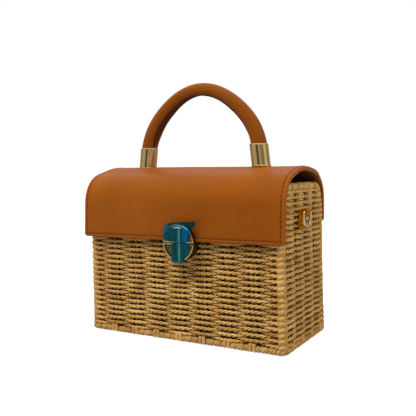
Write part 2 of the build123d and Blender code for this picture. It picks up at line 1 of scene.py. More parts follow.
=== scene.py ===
# %% [markdown]
# # A woven straw handbag
# The bag is a small box basket of twisted paper rope with a leather flap, a rolled leather handle
# and brass fittings. Its CAD solids say where each piece is and how it moves. This lesson dresses them:
# it weaves the walls rope by rope, cuts and sews the leather, and finishes the metal.

# %% The CAD model, as a fixed frame
import math
from bisect import bisect_right

import bmesh
import bpy
from mathutils import Matrix, Vector


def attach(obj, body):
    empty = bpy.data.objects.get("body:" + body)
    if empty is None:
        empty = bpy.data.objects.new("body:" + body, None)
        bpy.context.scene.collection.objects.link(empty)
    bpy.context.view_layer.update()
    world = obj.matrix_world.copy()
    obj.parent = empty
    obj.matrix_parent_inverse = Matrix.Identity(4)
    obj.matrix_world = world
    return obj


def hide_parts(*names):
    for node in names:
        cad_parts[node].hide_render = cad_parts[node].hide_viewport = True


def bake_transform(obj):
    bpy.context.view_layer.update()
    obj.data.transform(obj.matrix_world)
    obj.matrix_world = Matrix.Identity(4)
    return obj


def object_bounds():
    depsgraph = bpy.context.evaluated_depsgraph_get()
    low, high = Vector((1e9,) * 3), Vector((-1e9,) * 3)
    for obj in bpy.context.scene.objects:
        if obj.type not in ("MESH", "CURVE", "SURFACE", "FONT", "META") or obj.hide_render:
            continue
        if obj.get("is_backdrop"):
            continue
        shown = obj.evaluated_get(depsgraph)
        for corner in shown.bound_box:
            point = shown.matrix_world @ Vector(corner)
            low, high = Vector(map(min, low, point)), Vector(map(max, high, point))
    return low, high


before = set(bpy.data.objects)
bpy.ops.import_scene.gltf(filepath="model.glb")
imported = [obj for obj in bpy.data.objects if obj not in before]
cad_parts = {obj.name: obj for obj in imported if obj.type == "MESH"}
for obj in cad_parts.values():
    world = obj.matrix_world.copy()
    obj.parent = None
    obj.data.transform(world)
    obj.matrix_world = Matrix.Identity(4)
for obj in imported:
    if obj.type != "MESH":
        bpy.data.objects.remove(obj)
cad_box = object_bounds()
mm = 0.001
print("CAD box in mm:", [[round(c / mm, 1) for c in corner] for corner in cad_box])

# %% [markdown]
# ## Sizes that the pieces share
# The dressing follows the CAD part, so the sizes that both use are repeated here, in metres.
# X runs along the front, the front faces -Y and Z is up.

# %% Shared sizes
basket_half_width, basket_half_depth = 100 * mm, 47.5 * mm
wall_top, gable_top, shoulder_radius = 126 * mm, 140 * mm, 14 * mm
foot_height = 6 * mm
long_pitch, side_pitch = 24 * mm, 21.92 * mm
ridge_y, ridge_z = -1.5 * mm, 154.48 * mm
hinge_y, hinge_z = 50.45 * mm, 126 * mm
handle_x = -1.6 * mm
clasp_x, clasp_z, clasp_radius = 6.5 * mm, 89 * mm, 15.5 * mm
clasp_face_y = -57.2 * mm
ring_x, ring_y, ring_bar_z = 105 * mm, -8 * mm, 114.6 * mm
print("basket", [round(2 * half / mm) for half in (basket_half_width, basket_half_depth)], "mm")

# %% [markdown]
# ## Node trees as sums
# Materials and Geometry Nodes are both node trees. Adding and linking each node by hand hides the idea,
# so one small class wraps a socket and turns + - * / into Math nodes. A second one adds any other node.

# %% Sockets that can be added and multiplied
def one_term(operation):
    """A method that puts a socket through a Math node."""
    return lambda term: term.math(operation, term)


def two_terms(operation):
    """A method that joins a socket and another term by a Math node."""
    return lambda first, second: first.math(operation, first, second)


class Socket:
    """A node's output. Arithmetic on it adds Math nodes to its tree."""

    def __init__(self, graph, link):
        self.graph, self.link = graph, link

    def math(self, operation, *terms):
        return self.graph.add("ShaderNodeMath", {"operation": operation}, dict(enumerate(terms)))

    def out(self, key):
        """Another output of the same node."""
        return Socket(self.graph, pick(self.link.node.outputs, key))

    def __rsub__(self, other):
        return self.math("SUBTRACT", other, self)

    __add__ = __radd__ = two_terms("ADD")
    __sub__ = two_terms("SUBTRACT")
    __mul__ = __rmul__ = two_terms("MULTIPLY")
    __truediv__ = two_terms("DIVIDE")
    __mod__ = two_terms("FLOORED_MODULO")
    __pow__ = two_terms("POWER")
    __lt__ = two_terms("LESS_THAN")
    __gt__ = two_terms("GREATER_THAN")
    __abs__ = one_term("ABSOLUTE")
    least, most = two_terms("MINIMUM"), two_terms("MAXIMUM")
    sine, cosine = one_term("SINE"), one_term("COSINE")
    arctan2 = two_terms("ARCTAN2")


def pick(sockets, key):
    """A socket by its place, or the first one in use that has that name."""
    return sockets[key] if isinstance(key, int) else next(s for s in sockets if s.name == key and s.enabled)


# %% A tree that is built by calls
class Graph:
    """A node tree of a material, a world or a Geometry Nodes modifier."""

    def __init__(self, tree):
        self.tree = tree

    def put(self, socket, value):
        if isinstance(value, Socket):
            self.tree.links.new(value.link, socket)
        else:
            socket.default_value = value

    def add(self, kind, settings={}, sockets={}, out=0):
        """Adds a node: its settings first, then the values or links of its sockets."""
        node = self.tree.nodes.new(kind)
        for name, value in settings.items():
            if name == "stops":
                ramp = node.color_ramp.elements
                while len(ramp) < len(value):
                    ramp.new(1)
                for stop, (place, colour) in zip(ramp, value):
                    stop.position, stop.color = place, (*colour, 1)
            else:
                setattr(node, name, value)
        for key, value in sockets.items():
            self.put(pick(node.inputs, key), value)
        return Socket(self, pick(node.outputs, out))

    def where(self):
        """The place on a piece, in metres."""
        return self.add("ShaderNodeTexCoord", out="Object")

    def read(self, name):
        """A value that a piece's mesh holds at its points."""
        return self.add("ShaderNodeAttribute", {"attribute_name": name}, out="Fac")

    def noise(self, where, scale, detail=2.0, roughness=0.5):
        sizes = {"Vector": where, "Scale": scale, "Detail": detail, "Roughness": roughness}
        return self.add("ShaderNodeTexNoise", {}, sizes)

    def ramp(self, value, stops):
        """A colour by a value, between stops of place and colour."""
        return self.add("ShaderNodeValToRGB", {"stops": stops}, {0: value})

    def mix(self, share, first, second):
        """A colour between two, by a share from 0 to 1."""
        node = {"data_type": "RGBA", "clamp_factor": True}
        return self.add("ShaderNodeMix", node, {0: share, 6: first, 7: second}, out=2)

    def smooth(self, value, low, high):
        """0 up to low, 1 from high on, and a soft step between."""
        sizes = {"Value": value, "From Min": low, "From Max": high}
        return self.add("ShaderNodeMapRange", {"interpolation_type": "SMOOTHSTEP"}, sizes)

    def separate(self, vector):
        return self.add("ShaderNodeSeparateXYZ", {}, {0: vector})

    def vector(self, x=0.0, y=0.0, z=0.0):
        return self.add("ShaderNodeCombineXYZ", {}, {0: x, 1: y, 2: z})

    def scaled(self, vector, share):
        return self.add("ShaderNodeVectorMath", {"operation": "SCALE"}, {0: vector, "Scale": share})

    def roughen(self, sockets, height, strength, depth):
        """Fine relief on a material: a Bump node that feeds its Normal."""
        relief = {"Strength": strength, "Distance": depth, "Height": height}
        self.put(sockets["Normal"], self.add("ShaderNodeBump", {}, relief))


def colour(red, green, painted_blue_sheen):
    """A colour as seen on a screen, from 0 to 255, as the linear values that a shader takes."""
    shares = [c / 255 for c in (red, green, painted_blue_sheen)]
    return tuple(c / 12.92 if c <= 0.04045 else ((c + 0.055) / 1.055) ** 2.4 for c in shares)


def rgba(*screen):
    return (*colour(*screen), 1)


# %% [markdown]
# ## Camera
# The view was found from the bag's own corners: a camera to the right of the front, a little above
# the middle, with a lens of about 50 mm. Its axes are worked out from how far it pans, tilts and rolls.

# %% Camera
camera_place = Vector((280.6, -474.6, 148.8)) * mm
pan, tilt, roll = (math.radians(a) for a in (-30.26, 3.44, -1.04))
focal_pixels, picture_pixels = 583.6, 416
forward = Vector((math.sin(pan) * math.cos(tilt), math.cos(pan) * math.cos(tilt), -math.sin(tilt)))
level = Vector((math.cos(pan), -math.sin(pan), 0))
upright = level.cross(forward)
right_axis = level * math.cos(roll) + upright * math.sin(roll)
up_axis = upright * math.cos(roll) - level * math.sin(roll)
camera = bpy.data.objects.new("camera", bpy.data.cameras.new("camera"))
camera.data.lens = focal_pixels / picture_pixels * camera.data.sensor_width
turn = Matrix((right_axis, up_axis, -forward)).transposed().to_4x4()
camera.matrix_world = Matrix.Translation(camera_place) @ turn
bpy.context.collection.objects.link(camera)
bpy.context.scene.camera = camera
bpy.context.scene.view_settings.view_transform = "Standard"
print("lens", round(camera.data.lens, 1))

# %% [markdown]
# ## Studio
# Soft light comes from a large lamp at the upper left and a weaker one at the right, as in a product studio.
# The world is white to the camera and in reflections, and dimmer as a light, so that the background is white
# without washing out the straw. Polished brass shows what stands round it, so a screen with light and dark
# bands, which only reflections see, stands round the table.

# %% World and lamps
white, black = (1, 1, 1, 1), (0, 0, 0, 1)
ambient = 0.16
world = bpy.data.worlds.new("studio")
world.use_nodes = True
bpy.context.scene.world = world
studio = Graph(world.node_tree)
rays = studio.add("ShaderNodeLightPath", out="Is Camera Ray")
mirrored = rays.out("Is Glossy Ray").most(rays.out("Is Transmission Ray"))
sky = world.node_tree.nodes["Background"]
sky.inputs["Color"].default_value = white
studio.put(sky.inputs["Strength"], ambient + (1 - ambient) * rays.most(mirrored))


def add_lamp(name, place, aim, size, power):
    """A square soft lamp. Polished metal mirrors the white room, not the lamp."""
    lamp = bpy.data.objects.new(name, bpy.data.lights.new(name, "AREA"))
    lamp.data.size, lamp.data.energy = size, power
    lamp.visible_glossy = False
    lamp.location = place
    lamp.rotation_euler = (Vector(aim) - Vector(place)).to_track_quat("-Z", "Y").to_euler()
    bpy.context.collection.objects.link(lamp)


add_lamp("key", place=(-0.4, -0.7, 1.15), aim=(0, 0, 0.09), size=0.5, power=15.2)
add_lamp("fill", place=(1.1, -0.3, 0.6), aim=(0, 0, 0.1), size=0.6, power=5.6)
add_lamp("top", place=(0.1, 0.25, 1.2), aim=(0, 0, 0.15), size=0.5, power=3.4)
print("lamps", [light.name for light in bpy.data.lights])


# %% Meshes, materials and the floor
def add_mesh(name, points, faces, material):
    """A mesh object at the origin, with its place in its points."""
    mesh = bpy.data.meshes.new(name)
    mesh.from_pydata([tuple(p) for p in points], [], faces)
    mesh.update()
    mesh.materials.append(material)
    piece = bpy.data.objects.new(name, mesh)
    bpy.context.collection.objects.link(piece)
    return piece


def plain_material(name, **values):
    """A material whose shader has these values. Its graph and shader come back with it."""
    made = bpy.data.materials.new(name)
    made.use_nodes = True
    shader = made.node_tree.nodes["Principled BSDF"]
    for key, value in values.items():
        shader.inputs[key.replace("_", " ")].default_value = value
    return made, Graph(made.node_tree), shader.inputs


floor_values = {"Base_Color": (0.62, 0.62, 0.62, 1), "Roughness": 0.9, "Emission_Strength": 0.84}
floor_paint, floor_graph, floor_sockets = plain_material("floor", **floor_values)
seen = floor_graph.add("ShaderNodeLightPath", out="Is Camera Ray")
floor_graph.put(floor_sockets["Emission Color"], floor_graph.mix(seen, black, white))
floor_reach = 4.0
floor_corners = [(x * floor_reach, y * floor_reach, 0) for x, y in ((-1, -1), (1, -1), (1, 1), (-1, 1))]
floor = add_mesh("floor", floor_corners, [(0, 1, 2, 3)], floor_paint)
floor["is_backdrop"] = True
print("floor", 2 * floor_reach, "m wide")


# %% Banded screen
def ring_faces(rings, sides, joined=False):
    """Faces between rings of points. If they are joined, the last ring meets the first."""
    faces = []
    for i in range(rings if joined else rings - 1):
        here, there = i * sides, (i + 1) % rings * sides
        for k in range(sides):
            n = (k + 1) % sides
            faces.append((here + k, here + n, there + n, there + k))
    return faces


def end_faces(rings, sides):
    """The two faces that close a tube of rings."""
    return [tuple(range(sides)), tuple(range((rings - 1) * sides, rings * sides))]


screen_paint, screen_graph, screen_sockets = plain_material("screen", Base_Color=black, Emission_Strength=1.0)
screen_spot = screen_graph.separate(screen_graph.where())
screen_turn = screen_spot.arctan2(0 - screen_spot.out("Y")) / (2 * math.pi) + 0.5
bands = [(-180, 0.3), (-120, 0.3), (-75, 0.42), (-50, 0.62), (-35, 0.55), (-18, 0.45), (-9, 0.02),
         (7, 0.02), (14, 0.55), (20, 0.6), (35, 0.4), (60, 0.22), (66, 0.22), (78, 0.6), (90, 1.0),
         (98, 0.9), (112, 0.4), (130, 0.3), (150, 0.5), (180, 0.3)]
band_stops = [(angle / 360 + 0.5, (light, light, light)) for angle, light in bands]
screen_graph.put(screen_sockets["Emission Color"], screen_graph.ramp(screen_turn, band_stops))
screen_radius, screen_height, screen_sides = 1.3, 0.8, 64
screen_points = []
for z in (0, screen_height):
    for k in range(screen_sides):
        a = 2 * math.pi * k / screen_sides
        screen_points.append((screen_radius * math.sin(a), screen_radius * math.cos(a), z))
screen = add_mesh("banded_screen", screen_points, ring_faces(2, screen_sides), screen_paint)
screen.visible_camera = screen.visible_diffuse = screen.visible_shadow = False
screen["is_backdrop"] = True
print("screen with", len(bands), "stops of light")

# %% [markdown]
# ## Straw
# The rope is twisted from strips of paper, pale where the light catches a ply. The groove between the plies
# comes with the rope's mesh as an attribute, and the shader paints it brown there, as painted shade.
# Ropes that lie back in the wall, and the borders where they narrow, are painted darker still, as painted
# shade.
# Noise of three sizes does the rest: ropes that differ, patches along a rope, and fine fibre.

# %% Straw finish
def make_straw():
    made, g, sockets = plain_material("straw", Specular_IOR_Level=0.25)
    where = g.where()
    tint = g.add("ShaderNodeTexWhiteNoise", {"noise_dimensions": "1D"}, {"W": g.read("row")})
    patches = g.noise(where, 70, 3, 0.6)
    fibre = g.noise(where, 1400, 2, 0.6)
    tone = 0.55 * patches + 0.3 * fibre + 0.14 * tint
    stops = [(0.28, colour(140, 96, 44)), (0.48, colour(205, 157, 85)), (0.68, colour(233, 191, 119))]
    # Painted shade: the twist's groove and the borders' narrow places are painted dark brown.
    painted_groove_shade = (0.6 * g.smooth(g.read("groove"), 0.5, 1.0)).most(0.8 * g.read("crease"))
    paper = g.mix(painted_groove_shade, g.ramp(tone, stops), rgba(84, 46, 14))
    # Painted shade: ropes that lie back in the wall are painted almost black.
    painted_set_back_shade = 0.85 * g.smooth(g.read("sunk"), 0.55, 0.95)
    g.put(sockets["Base Color"], g.mix(painted_set_back_shade, paper, rgba(34, 16, 3)))
    g.put(sockets["Roughness"], 0.6 + 0.3 * fibre)
    g.roughen(sockets, fibre, 0.5, 0.15 * mm)
    return made


straw = make_straw()
print("made", straw.name)

# %% [markdown]
# ## Growing a piece with Geometry Nodes
# A weave is one rule repeated some thousand times, which is what Geometry Nodes are for.
# Each tree has named inputs for its sizes. The result is turned into a plain mesh at once,
# because the pieces have to ride on the bag's moving bodies.

# %% Trees with named inputs
socket_kinds = {int: "NodeSocketInt", float: "NodeSocketFloat", bpy.types.Material: "NodeSocketMaterial"}


def geometry_tree(name, sizes):
    """A new tree with one input for each named size, as its graph and a dict of its inputs."""
    tree = bpy.data.node_groups.new(name, "GeometryNodeTree")
    tree.interface.new_socket("Geometry", in_out="INPUT", socket_type="NodeSocketGeometry")
    for key, kind in sizes.items():
        tree.interface.new_socket(key, in_out="INPUT", socket_type=socket_kinds[kind])
    tree.interface.new_socket("Geometry", in_out="OUTPUT", socket_type="NodeSocketGeometry")
    graph = Graph(tree)
    start = tree.nodes.new("NodeGroupInput")
    return graph, {s.name: Socket(graph, s) for s in start.outputs if s.name}


def close_tree(graph, geometry, material):
    """Ends a tree: real geometry in place of instances, smooth faces and the material."""
    real = graph.add("GeometryNodeRealizeInstances", {}, {0: geometry})
    smooth = graph.add("GeometryNodeSetShadeSmooth", {}, {0: real})
    finished = graph.add("GeometryNodeSetMaterial", {}, {"Geometry": smooth, "Material": material})
    end = graph.tree.nodes.new("NodeGroupOutput")
    graph.put(end.inputs[0], finished)


def store(graph, geometry, name, value):
    """Keeps a value at each point of some geometry, under a name that a material can read."""
    kept = {"Geometry": geometry, "Name": name, "Value": value}
    return graph.add("GeometryNodeStoreNamedAttribute", {"data_type": "FLOAT", "domain": "POINT"}, kept)


def stored(graph, name, kind="FLOAT"):
    return graph.add("GeometryNodeInputNamedAttribute", {"data_type": kind}, {"Name": name})


def even_steps(graph, path, length):
    return graph.add("GeometryNodeResampleCurve", {"mode": "LENGTH"}, {"Curve": path, "Length": length})


# %% From a path to a plain mesh
def path_mesh(name, paths, closed=False):
    """Points and edges along some paths, for a tree to run along."""
    points, edges = [], []
    for path in paths:
        first = len(points)
        points += [tuple(p) for p in path]
        edges += [(i, i + 1) for i in range(first, len(points) - 1)]
        if closed:
            edges.append((len(points) - 1, first))
    mesh = bpy.data.meshes.new(name + "_path")
    mesh.from_pydata(points, edges, [])
    return mesh


def as_mesh(piece):
    """A piece with its modifiers, as a plain mesh."""
    return bpy.data.meshes.new_from_object(piece.evaluated_get(bpy.context.evaluated_depsgraph_get()))


def grow(name, graph, values, path=None):
    """Runs a tree on a path, or on nothing, and gives the result as a plain mesh object."""
    carrier = bpy.data.objects.new(name + "_path", path or bpy.data.meshes.new(name + "_path"))
    bpy.context.collection.objects.link(carrier)
    modifier = carrier.modifiers.new(name, "NODES")
    modifier.node_group = graph.tree
    for item in graph.tree.interface.items_tree:
        if item.in_out == "INPUT" and item.name in values:
            modifier[item.identifier] = values[item.name]
    mesh = as_mesh(carrier)
    bpy.data.objects.remove(carrier)
    piece = bpy.data.objects.new(name, mesh)
    bpy.context.collection.objects.link(piece)
    mesh.calc_loop_triangles()
    print(f"{name}: {len(mesh.loop_triangles)} triangles")
    return piece


def give(piece, name, values):
    """Stores a value at each point of a mesh, for its material to read."""
    piece.data.attributes.new(name, "FLOAT", "POINT").data.foreach_set("value", values)


# %% [markdown]
# ## One rope
# Two plies twisted together have a section like a figure of eight. A circle of a few points is pinched
# between the plies, and turned steadily along the rope's path. Each point keeps how deep in the groove it is.
# The foot's border and the wraps round the corners are the same tree with shallow grooves. Smoother rope,
# from three plies, is for the corner posts, the stakes' ends and the brim.
# The two borders also swell and narrow in turn, and are painted dark where they are narrow, as painted shade.

# %% Rope section and rope along a path
paper_rope = {"plies": 2, "waist": 0.48, "points": 8}
border_rope = {"plies": 2, "waist": 0.72, "points": 12}
smooth_rope = {"plies": 3, "waist": 0.86, "points": 9}


def rope_section(g, radius, plies, waist, points):
    circle = g.add("GeometryNodeCurvePrimitiveCircle", {}, {"Resolution": points, "Radius": radius})
    place = g.add("GeometryNodeInputPosition")
    spot = g.separate(place)
    lobe = abs((spot.out("Y").arctan2(spot) * (plies / 2)).cosine())
    pinched = g.scaled(place, waist + (1 - waist) * lobe)
    shaped = g.add("GeometryNodeSetPosition", {}, {"Geometry": circle, "Position": pinched})
    return store(g, shaped, "groove", 1 - lobe)


def rope_body(g, path, section, twist, fullness):
    """Sweeps a section along a path, a little thicker here and thinner there."""
    tilted = g.add("GeometryNodeSetCurveTilt", {}, {"Curve": path, "Tilt": twist})
    uneven = 0.86 + 0.28 * g.noise(g.add("GeometryNodeInputPosition"), 90)
    sizes = {"Curve": tilted, "Profile Curve": section, "Fill Caps": True, "Scale": uneven * fullness}
    return g.add("GeometryNodeCurveToMesh", {}, sizes)


def make_rope_tree(name, kind):
    sizes = {"Radius": float, "Twist Length": float, "Step": float, "Lump Length": float, "Lump Depth": float}
    g, size = geometry_tree(name, sizes | {"Material": bpy.types.Material})
    path = even_steps(g, g.add("GeometryNodeMeshToCurve", {}, {0: size["Geometry"]}), size["Step"])
    along = g.add("GeometryNodeSplineParameter", out="Length")
    narrow = 1 - abs((along * math.pi / size["Lump Length"]).sine())
    # Painted shade: how narrow the border is here is kept, so that the straw is painted dark there.
    path = store(g, path, "crease", (size["Lump Depth"] > 0) * narrow ** 5)
    fullness = 1 - size["Lump Depth"] * narrow ** 2
    section = rope_section(g, size["Radius"], **kind)
    rope = rope_body(g, path, section, -2 * math.pi * along / size["Twist Length"], fullness)
    close_tree(g, rope, size["Material"])
    return g


rope_tree = make_rope_tree("two-ply rope along a path", paper_rope)
wrapped_tree = make_rope_tree("wrapped border along a path", border_rope)
smooth_tree = make_rope_tree("smooth rope along a path", smooth_rope)
print("trees:", [made.tree.name for made in (rope_tree, wrapped_tree, smooth_tree)])


def ropes(name, paths, radius, twist, step, closed=False, tree=rope_tree, lump=(1.0, 0.0), shade=0.0):
    """Ropes along paths. lump is the length and depth of their swellings.
    shade, from 0 to 1, paints the ropes darker as painted shade, from about a half upwards."""
    values = {"Radius": radius, "Twist Length": twist, "Step": step, "Material": straw}
    values |= {"Lump Length": lump[0], "Lump Depth": lump[1]}
    piece = grow(name, tree, values, path_mesh(name, paths, closed))
    give(piece, "sunk", [shade] * len(piece.data.vertices))
    return piece


# %% [markdown]
# ## The woven walls
# Rope after rope runs round the basket, in front of one stake and behind the next, and the rope above
# does the opposite. So a row is a rounded rectangle that swings inwards and back as a cosine with its turns
# at the stakes, and each row swings against the one below it. On the narrow sides the ropes work in pairs:
# one of the two is in front at every stake.
# A rope is thinner where it is squeezed between two others, and slow noise makes it look made by hand.
# The walls also lean out a little towards the foot.

# %% Rows round the basket
rope_pitch, rope_radius, rope_swing = 2.4 * mm, 1.55 * mm, 2.1 * mm
rope_half = 0.92 * rope_radius
row_count = round((wall_top - foot_height) / rope_pitch)
wall_inset = rope_swing + rope_half
wall_flare = 1.3 * mm


def row_outlines(g, size):
    """A rounded rectangle for each row, numbered from the foot up."""
    first_level = g.vector(z=size["Foot"] + size["Pitch"] * size["First Row"])
    starts = {"Count": size["Rows"], "Start Location": first_level, "Offset": g.vector(z=size["Pitch"])}
    levels = g.add("GeometryNodeMeshLine", {"mode": "OFFSET", "count_mode": "TOTAL"}, starts)
    levels = store(g, levels, "row", g.add("GeometryNodeInputIndex") + size["First Row"])
    plan = {"Width": size["Width"], "Height": size["Depth"]}
    outline = g.add("GeometryNodeCurvePrimitiveQuadrilateral", {}, plan)
    corners = {"Curve": outline, "Count": 6, "Radius": size["Corner Radius"]}
    outline = g.add("GeometryNodeFilletCurve", {"mode": "POLY"}, corners)
    outline = even_steps(g, outline, size["Step"])
    rows = g.add("GeometryNodeInstanceOnPoints", {}, {"Points": levels, "Instance": outline})
    return g.add("GeometryNodeRealizeInstances", {}, {0: rows})


print(row_count, "rows in a wall")

# %% How a row swings
corner_from, corner_full = 7 * mm, 2.5 * mm


def on_long_wall(g, size, place):
    """1 on the front and the back, 0 on the narrow sides."""
    return abs(g.separate(place)) < 4 * size["Long Pitch"]


def swing_in(g, size, place, side):
    """0 where a row is in front of a stake, about 1 where it is behind one, between the two in a corner."""
    spot = g.separate(place)
    x, y = abs(spot), abs(spot.out("Y"))
    is_long = on_long_wall(g, size, place)
    long_swing = (math.pi * x / size["Long Pitch"]).cosine()
    side_swing = 0.57 - 0.43 * (2 * math.pi * (y / size["Side Pitch"]).least(2)).cosine()
    along_wall = is_long * long_swing + (1 - is_long) * side_swing
    half_width, half_depth = size["Width"] / 2, size["Depth"] / 2
    corner = g.smooth(x, half_width - corner_from, half_width - corner_full)
    corner = corner * g.smooth(y, half_depth - corner_from, half_depth - corner_full)
    wave = side * along_wall * (0.75 + 0.5 * g.noise(place, 55))
    wave = wave + corner * (0.5 * side - wave)
    return (0.5 - 0.5 * wave).most(0).least(1.05) ** 1.25


# %% Weave tree
def make_weave_tree():
    kinds = {"Rows": int, "First Row": int, "Material": bpy.types.Material}
    numbers = ["Width", "Depth", "Corner Radius", "Foot", "Height", "Pitch", "Radius", "Swing", "Long Pitch",
               "Side Pitch", "Flare", "Twists", "Step"]
    g, size = geometry_tree("woven rows", kinds | {name: float for name in numbers})
    place, row = g.add("GeometryNodeInputPosition"), stored(g, "row")
    side = 1 - 2 * (row % 2)
    inward = swing_in(g, size, place, side)
    # How far back each point swings sets the rope's thickness, and is kept as painted shade for the material.
    rows = store(g, row_outlines(g, size), "sunk", inward)
    lean = size["Flare"] * (1 - g.separate(place).out("Z") / size["Height"])
    across = {0: g.add("GeometryNodeInputTangent"), 1: (0, 0, 1)}
    outward = g.add("ShaderNodeVectorMath", {"operation": "CROSS_PRODUCT"}, across)
    shift = g.scaled(outward, lean - 2 * inward * size["Swing"])
    lift = g.vector(z=(g.noise(place, 38) - 0.5) * size["Pitch"] * 0.75)
    offset = g.add("ShaderNodeVectorMath", {"operation": "ADD"}, {0: shift, 1: lift})
    rows = g.add("GeometryNodeSetPosition", {}, {"Geometry": rows, "Offset": offset})
    rows = g.add("GeometryNodeSetCurveNormal", {"mode": "Z_UP"}, {"Curve": rows})
    around = g.add("GeometryNodeSplineParameter", out="Factor")
    start = g.add("ShaderNodeTexWhiteNoise", {"noise_dimensions": "1D"}, {"W": row})
    turns = 2 * math.pi * (start - around * size["Twists"])
    full = 0.8 + 0.24 * g.smooth(abs(stored(g, "sunk") - 0.45), 0.05, 0.42)
    full = full * (1 + 0.1 * (1 - on_long_wall(g, size, place)) * (side > 0))
    section = rope_section(g, size["Radius"], **paper_rope)
    close_tree(g, rope_body(g, rows, section, turns, full), size["Material"])
    return g


weave_tree = make_weave_tree()
weave_sizes = {
    "Width": 2 * (basket_half_width - rope_half),
    "Depth": 2 * (basket_half_depth - rope_half),
    "Corner Radius": 3 * mm,
    "Foot": foot_height + rope_pitch / 2,
    "Height": wall_top,
    "Flare": wall_flare,
    "Pitch": rope_pitch,
    "Radius": rope_radius,
    "Swing": rope_swing,
    "Long Pitch": long_pitch,
    "Side Pitch": side_pitch,
    "Twists": 62.0,
    "Step": 1.0 * mm,
    "Material": straw,
}
print("tree:", weave_tree.tree.name, "with", len(weave_sizes), "sizes")

# %% [markdown]
# The fifty rows are made in bands, because one mesh of them all would be too heavy to save.

# %% Woven bands
straw_pieces = []
band = 17
for first in range(0, row_count, band):
    count = min(band, row_count - first)
    values = weave_sizes | {"Rows": count, "First Row": first}
    straw_pieces.append(grow(f"woven_rows_{first // band + 1}", weave_tree, values))

# %% [markdown]
# ## Gables, stakes and borders
# The side walls rise past the front into rounded gables, with a few short rows. Pairs of ropes stand in the
# walls as stakes: they show as pale dots in the gaps. Thick twisted ropes close the brim and the foot,
# and the stakes' ends show on the foot as short upright pairs.

# %% Gable rows
rope_twist, rope_step = 9.4 * mm, 1.0 * mm
gable_count, gable_steps = 4, 60
gable_end_gap, gable_face_inset = 3.5 * mm, 1.2 * mm


def gable_half_span(z):
    return basket_half_depth - shoulder_radius + math.sqrt(max(shoulder_radius**2 - (z - wall_top) ** 2, 0))


gable_paths = []
for i in range(gable_count):
    z = wall_top + rope_pitch * (i + 0.5)
    reach_y = gable_half_span(z) - gable_end_gap
    for end in (-1, 1):
        path = []
        for k in range(gable_steps + 1):
            y = reach_y * (2 * k / gable_steps - 1)
            swing = rope_swing * (1 - 2 * (i % 2)) * math.sin(math.pi * y / side_pitch) ** 2
            path.append((end * (basket_half_width - wall_inset + swing), y, z))
        gable_paths.append(path)
gable_rows = ropes("gable_rows", gable_paths, rope_radius, rope_twist, rope_step)
gable_face = basket_half_width - gable_face_inset
# Painted shade: gable rows are painted darker the further they lie back from the gable's face.
gable_painted_shade = [(gable_face - abs(v.co.x)) / (2 * rope_swing) for v in gable_rows.data.vertices]
gable_rows.data.attributes["sunk"].data.foreach_set("value", gable_painted_shade)
straw_pieces.append(gable_rows)


# %% Stakes
def wall_places():
    """Each stake: its place on the middle of the wall, the way the wall runs, and its height."""
    wall_x, wall_y = basket_half_width - wall_inset, basket_half_depth - wall_inset
    for end in (-1, 1):
        for i in range(-3, 4):
            yield Vector((i * long_pitch, end * wall_y, 0)), Vector((1, 0, 0)), wall_top
        for i in (-1.5, -0.5, 0.5, 1.5):
            yield Vector((end * wall_x, i * side_pitch, 0)), Vector((0, 1, 0)), gable_top


stake_radius, stake_spread, stake_forward = 1.15 * mm, 1.3 * mm, 0.7 * mm
stake_foot, stake_top_gap = 3 * mm, 6 * mm
end_radius, end_spread, end_middle, end_top = 1.45 * mm, 1.6 * mm, 4 * mm, 7.8 * mm
stake_paths, end_paths = [], []
for spot, run, top in wall_places():
    outward = Vector((run.y, -run.x, 0))
    outward *= 1 if outward.dot(spot) > 0 else -1
    end_proud, end_foot = (1.9 * mm, 1.6 * mm) if run.x else (1.1 * mm, 2.4 * mm)
    for side in (-1, 1):
        stake = spot + run * side * stake_spread + outward * stake_forward
        stake_paths.append([stake + Vector((0, 0, z)) for z in (stake_foot, top / 2, top - stake_top_gap)])
        end = spot + run * side * end_spread + outward * (wall_inset + end_proud)
        end_paths.append([end + Vector((0, 0, z)) for z in (end_foot, end_middle, end_top)])

# Painted shade: the stakes are painted darker, as they stand back in the gaps.
straw_pieces.append(ropes("stakes", stake_paths, stake_radius, twist=7 * mm, step=1.6 * mm, shade=0.76))

# %% Posts in the corners and the stakes' ends
post_radius, post_foot, post_top = 2.7 * mm, 3 * mm, wall_top - 2 * mm


def corner_posts(name, insets, shade):
    """Two round posts in each corner, at these distances from its two walls, one way and the other."""
    paths = []
    for sx, sy in ((-1, -1), (-1, 1), (1, -1), (1, 1)):
        for inset_x, inset_y in (insets, insets[::-1]):
            half_x, half_y = basket_half_width - inset_x, basket_half_depth - inset_y
            ends = ((wall_flare, post_foot), (0, post_top))
            paths.append([(sx * (half_x + lean), sy * (half_y + lean), z) for lean, z in ends])
    return ropes(name, paths, post_radius, twist=30 * mm, step=1.6 * mm, tree=smooth_tree, shade=shade)


# Painted shade: the posts are painted dark, the inner ones almost black, so the gaps near the corners look
# dark.
straw_pieces += [
    corner_posts("edge_posts", insets=(2.9 * mm, 4.7 * mm), shade=0.74),
    corner_posts("inner_posts", insets=(9.6 * mm, 5.8 * mm), shade=0.92),
    ropes("stake_ends", end_paths, end_radius, twist=14 * mm, step=0.9 * mm, tree=smooth_tree),
]


# %% Borders at the foot and the brim
def arc(centre, radius, start, end, steps):
    """Points on an arc in a plane, by angles in degrees."""
    angles = [math.radians(start + (end - start) * i / steps) for i in range(steps + 1)]
    return [(centre[0] + radius * math.cos(a), centre[1] + radius * math.sin(a)) for a in angles]


def rounded_rectangle(half_x, half_y, radius):
    path = []
    for sx, sy, start in ((1, 1, 0), (-1, 1, 90), (-1, -1, 180), (1, -1, 270)):
        path += arc((sx * (half_x - radius), sy * (half_y - radius)), radius, start, start + 90, 6)
    return path


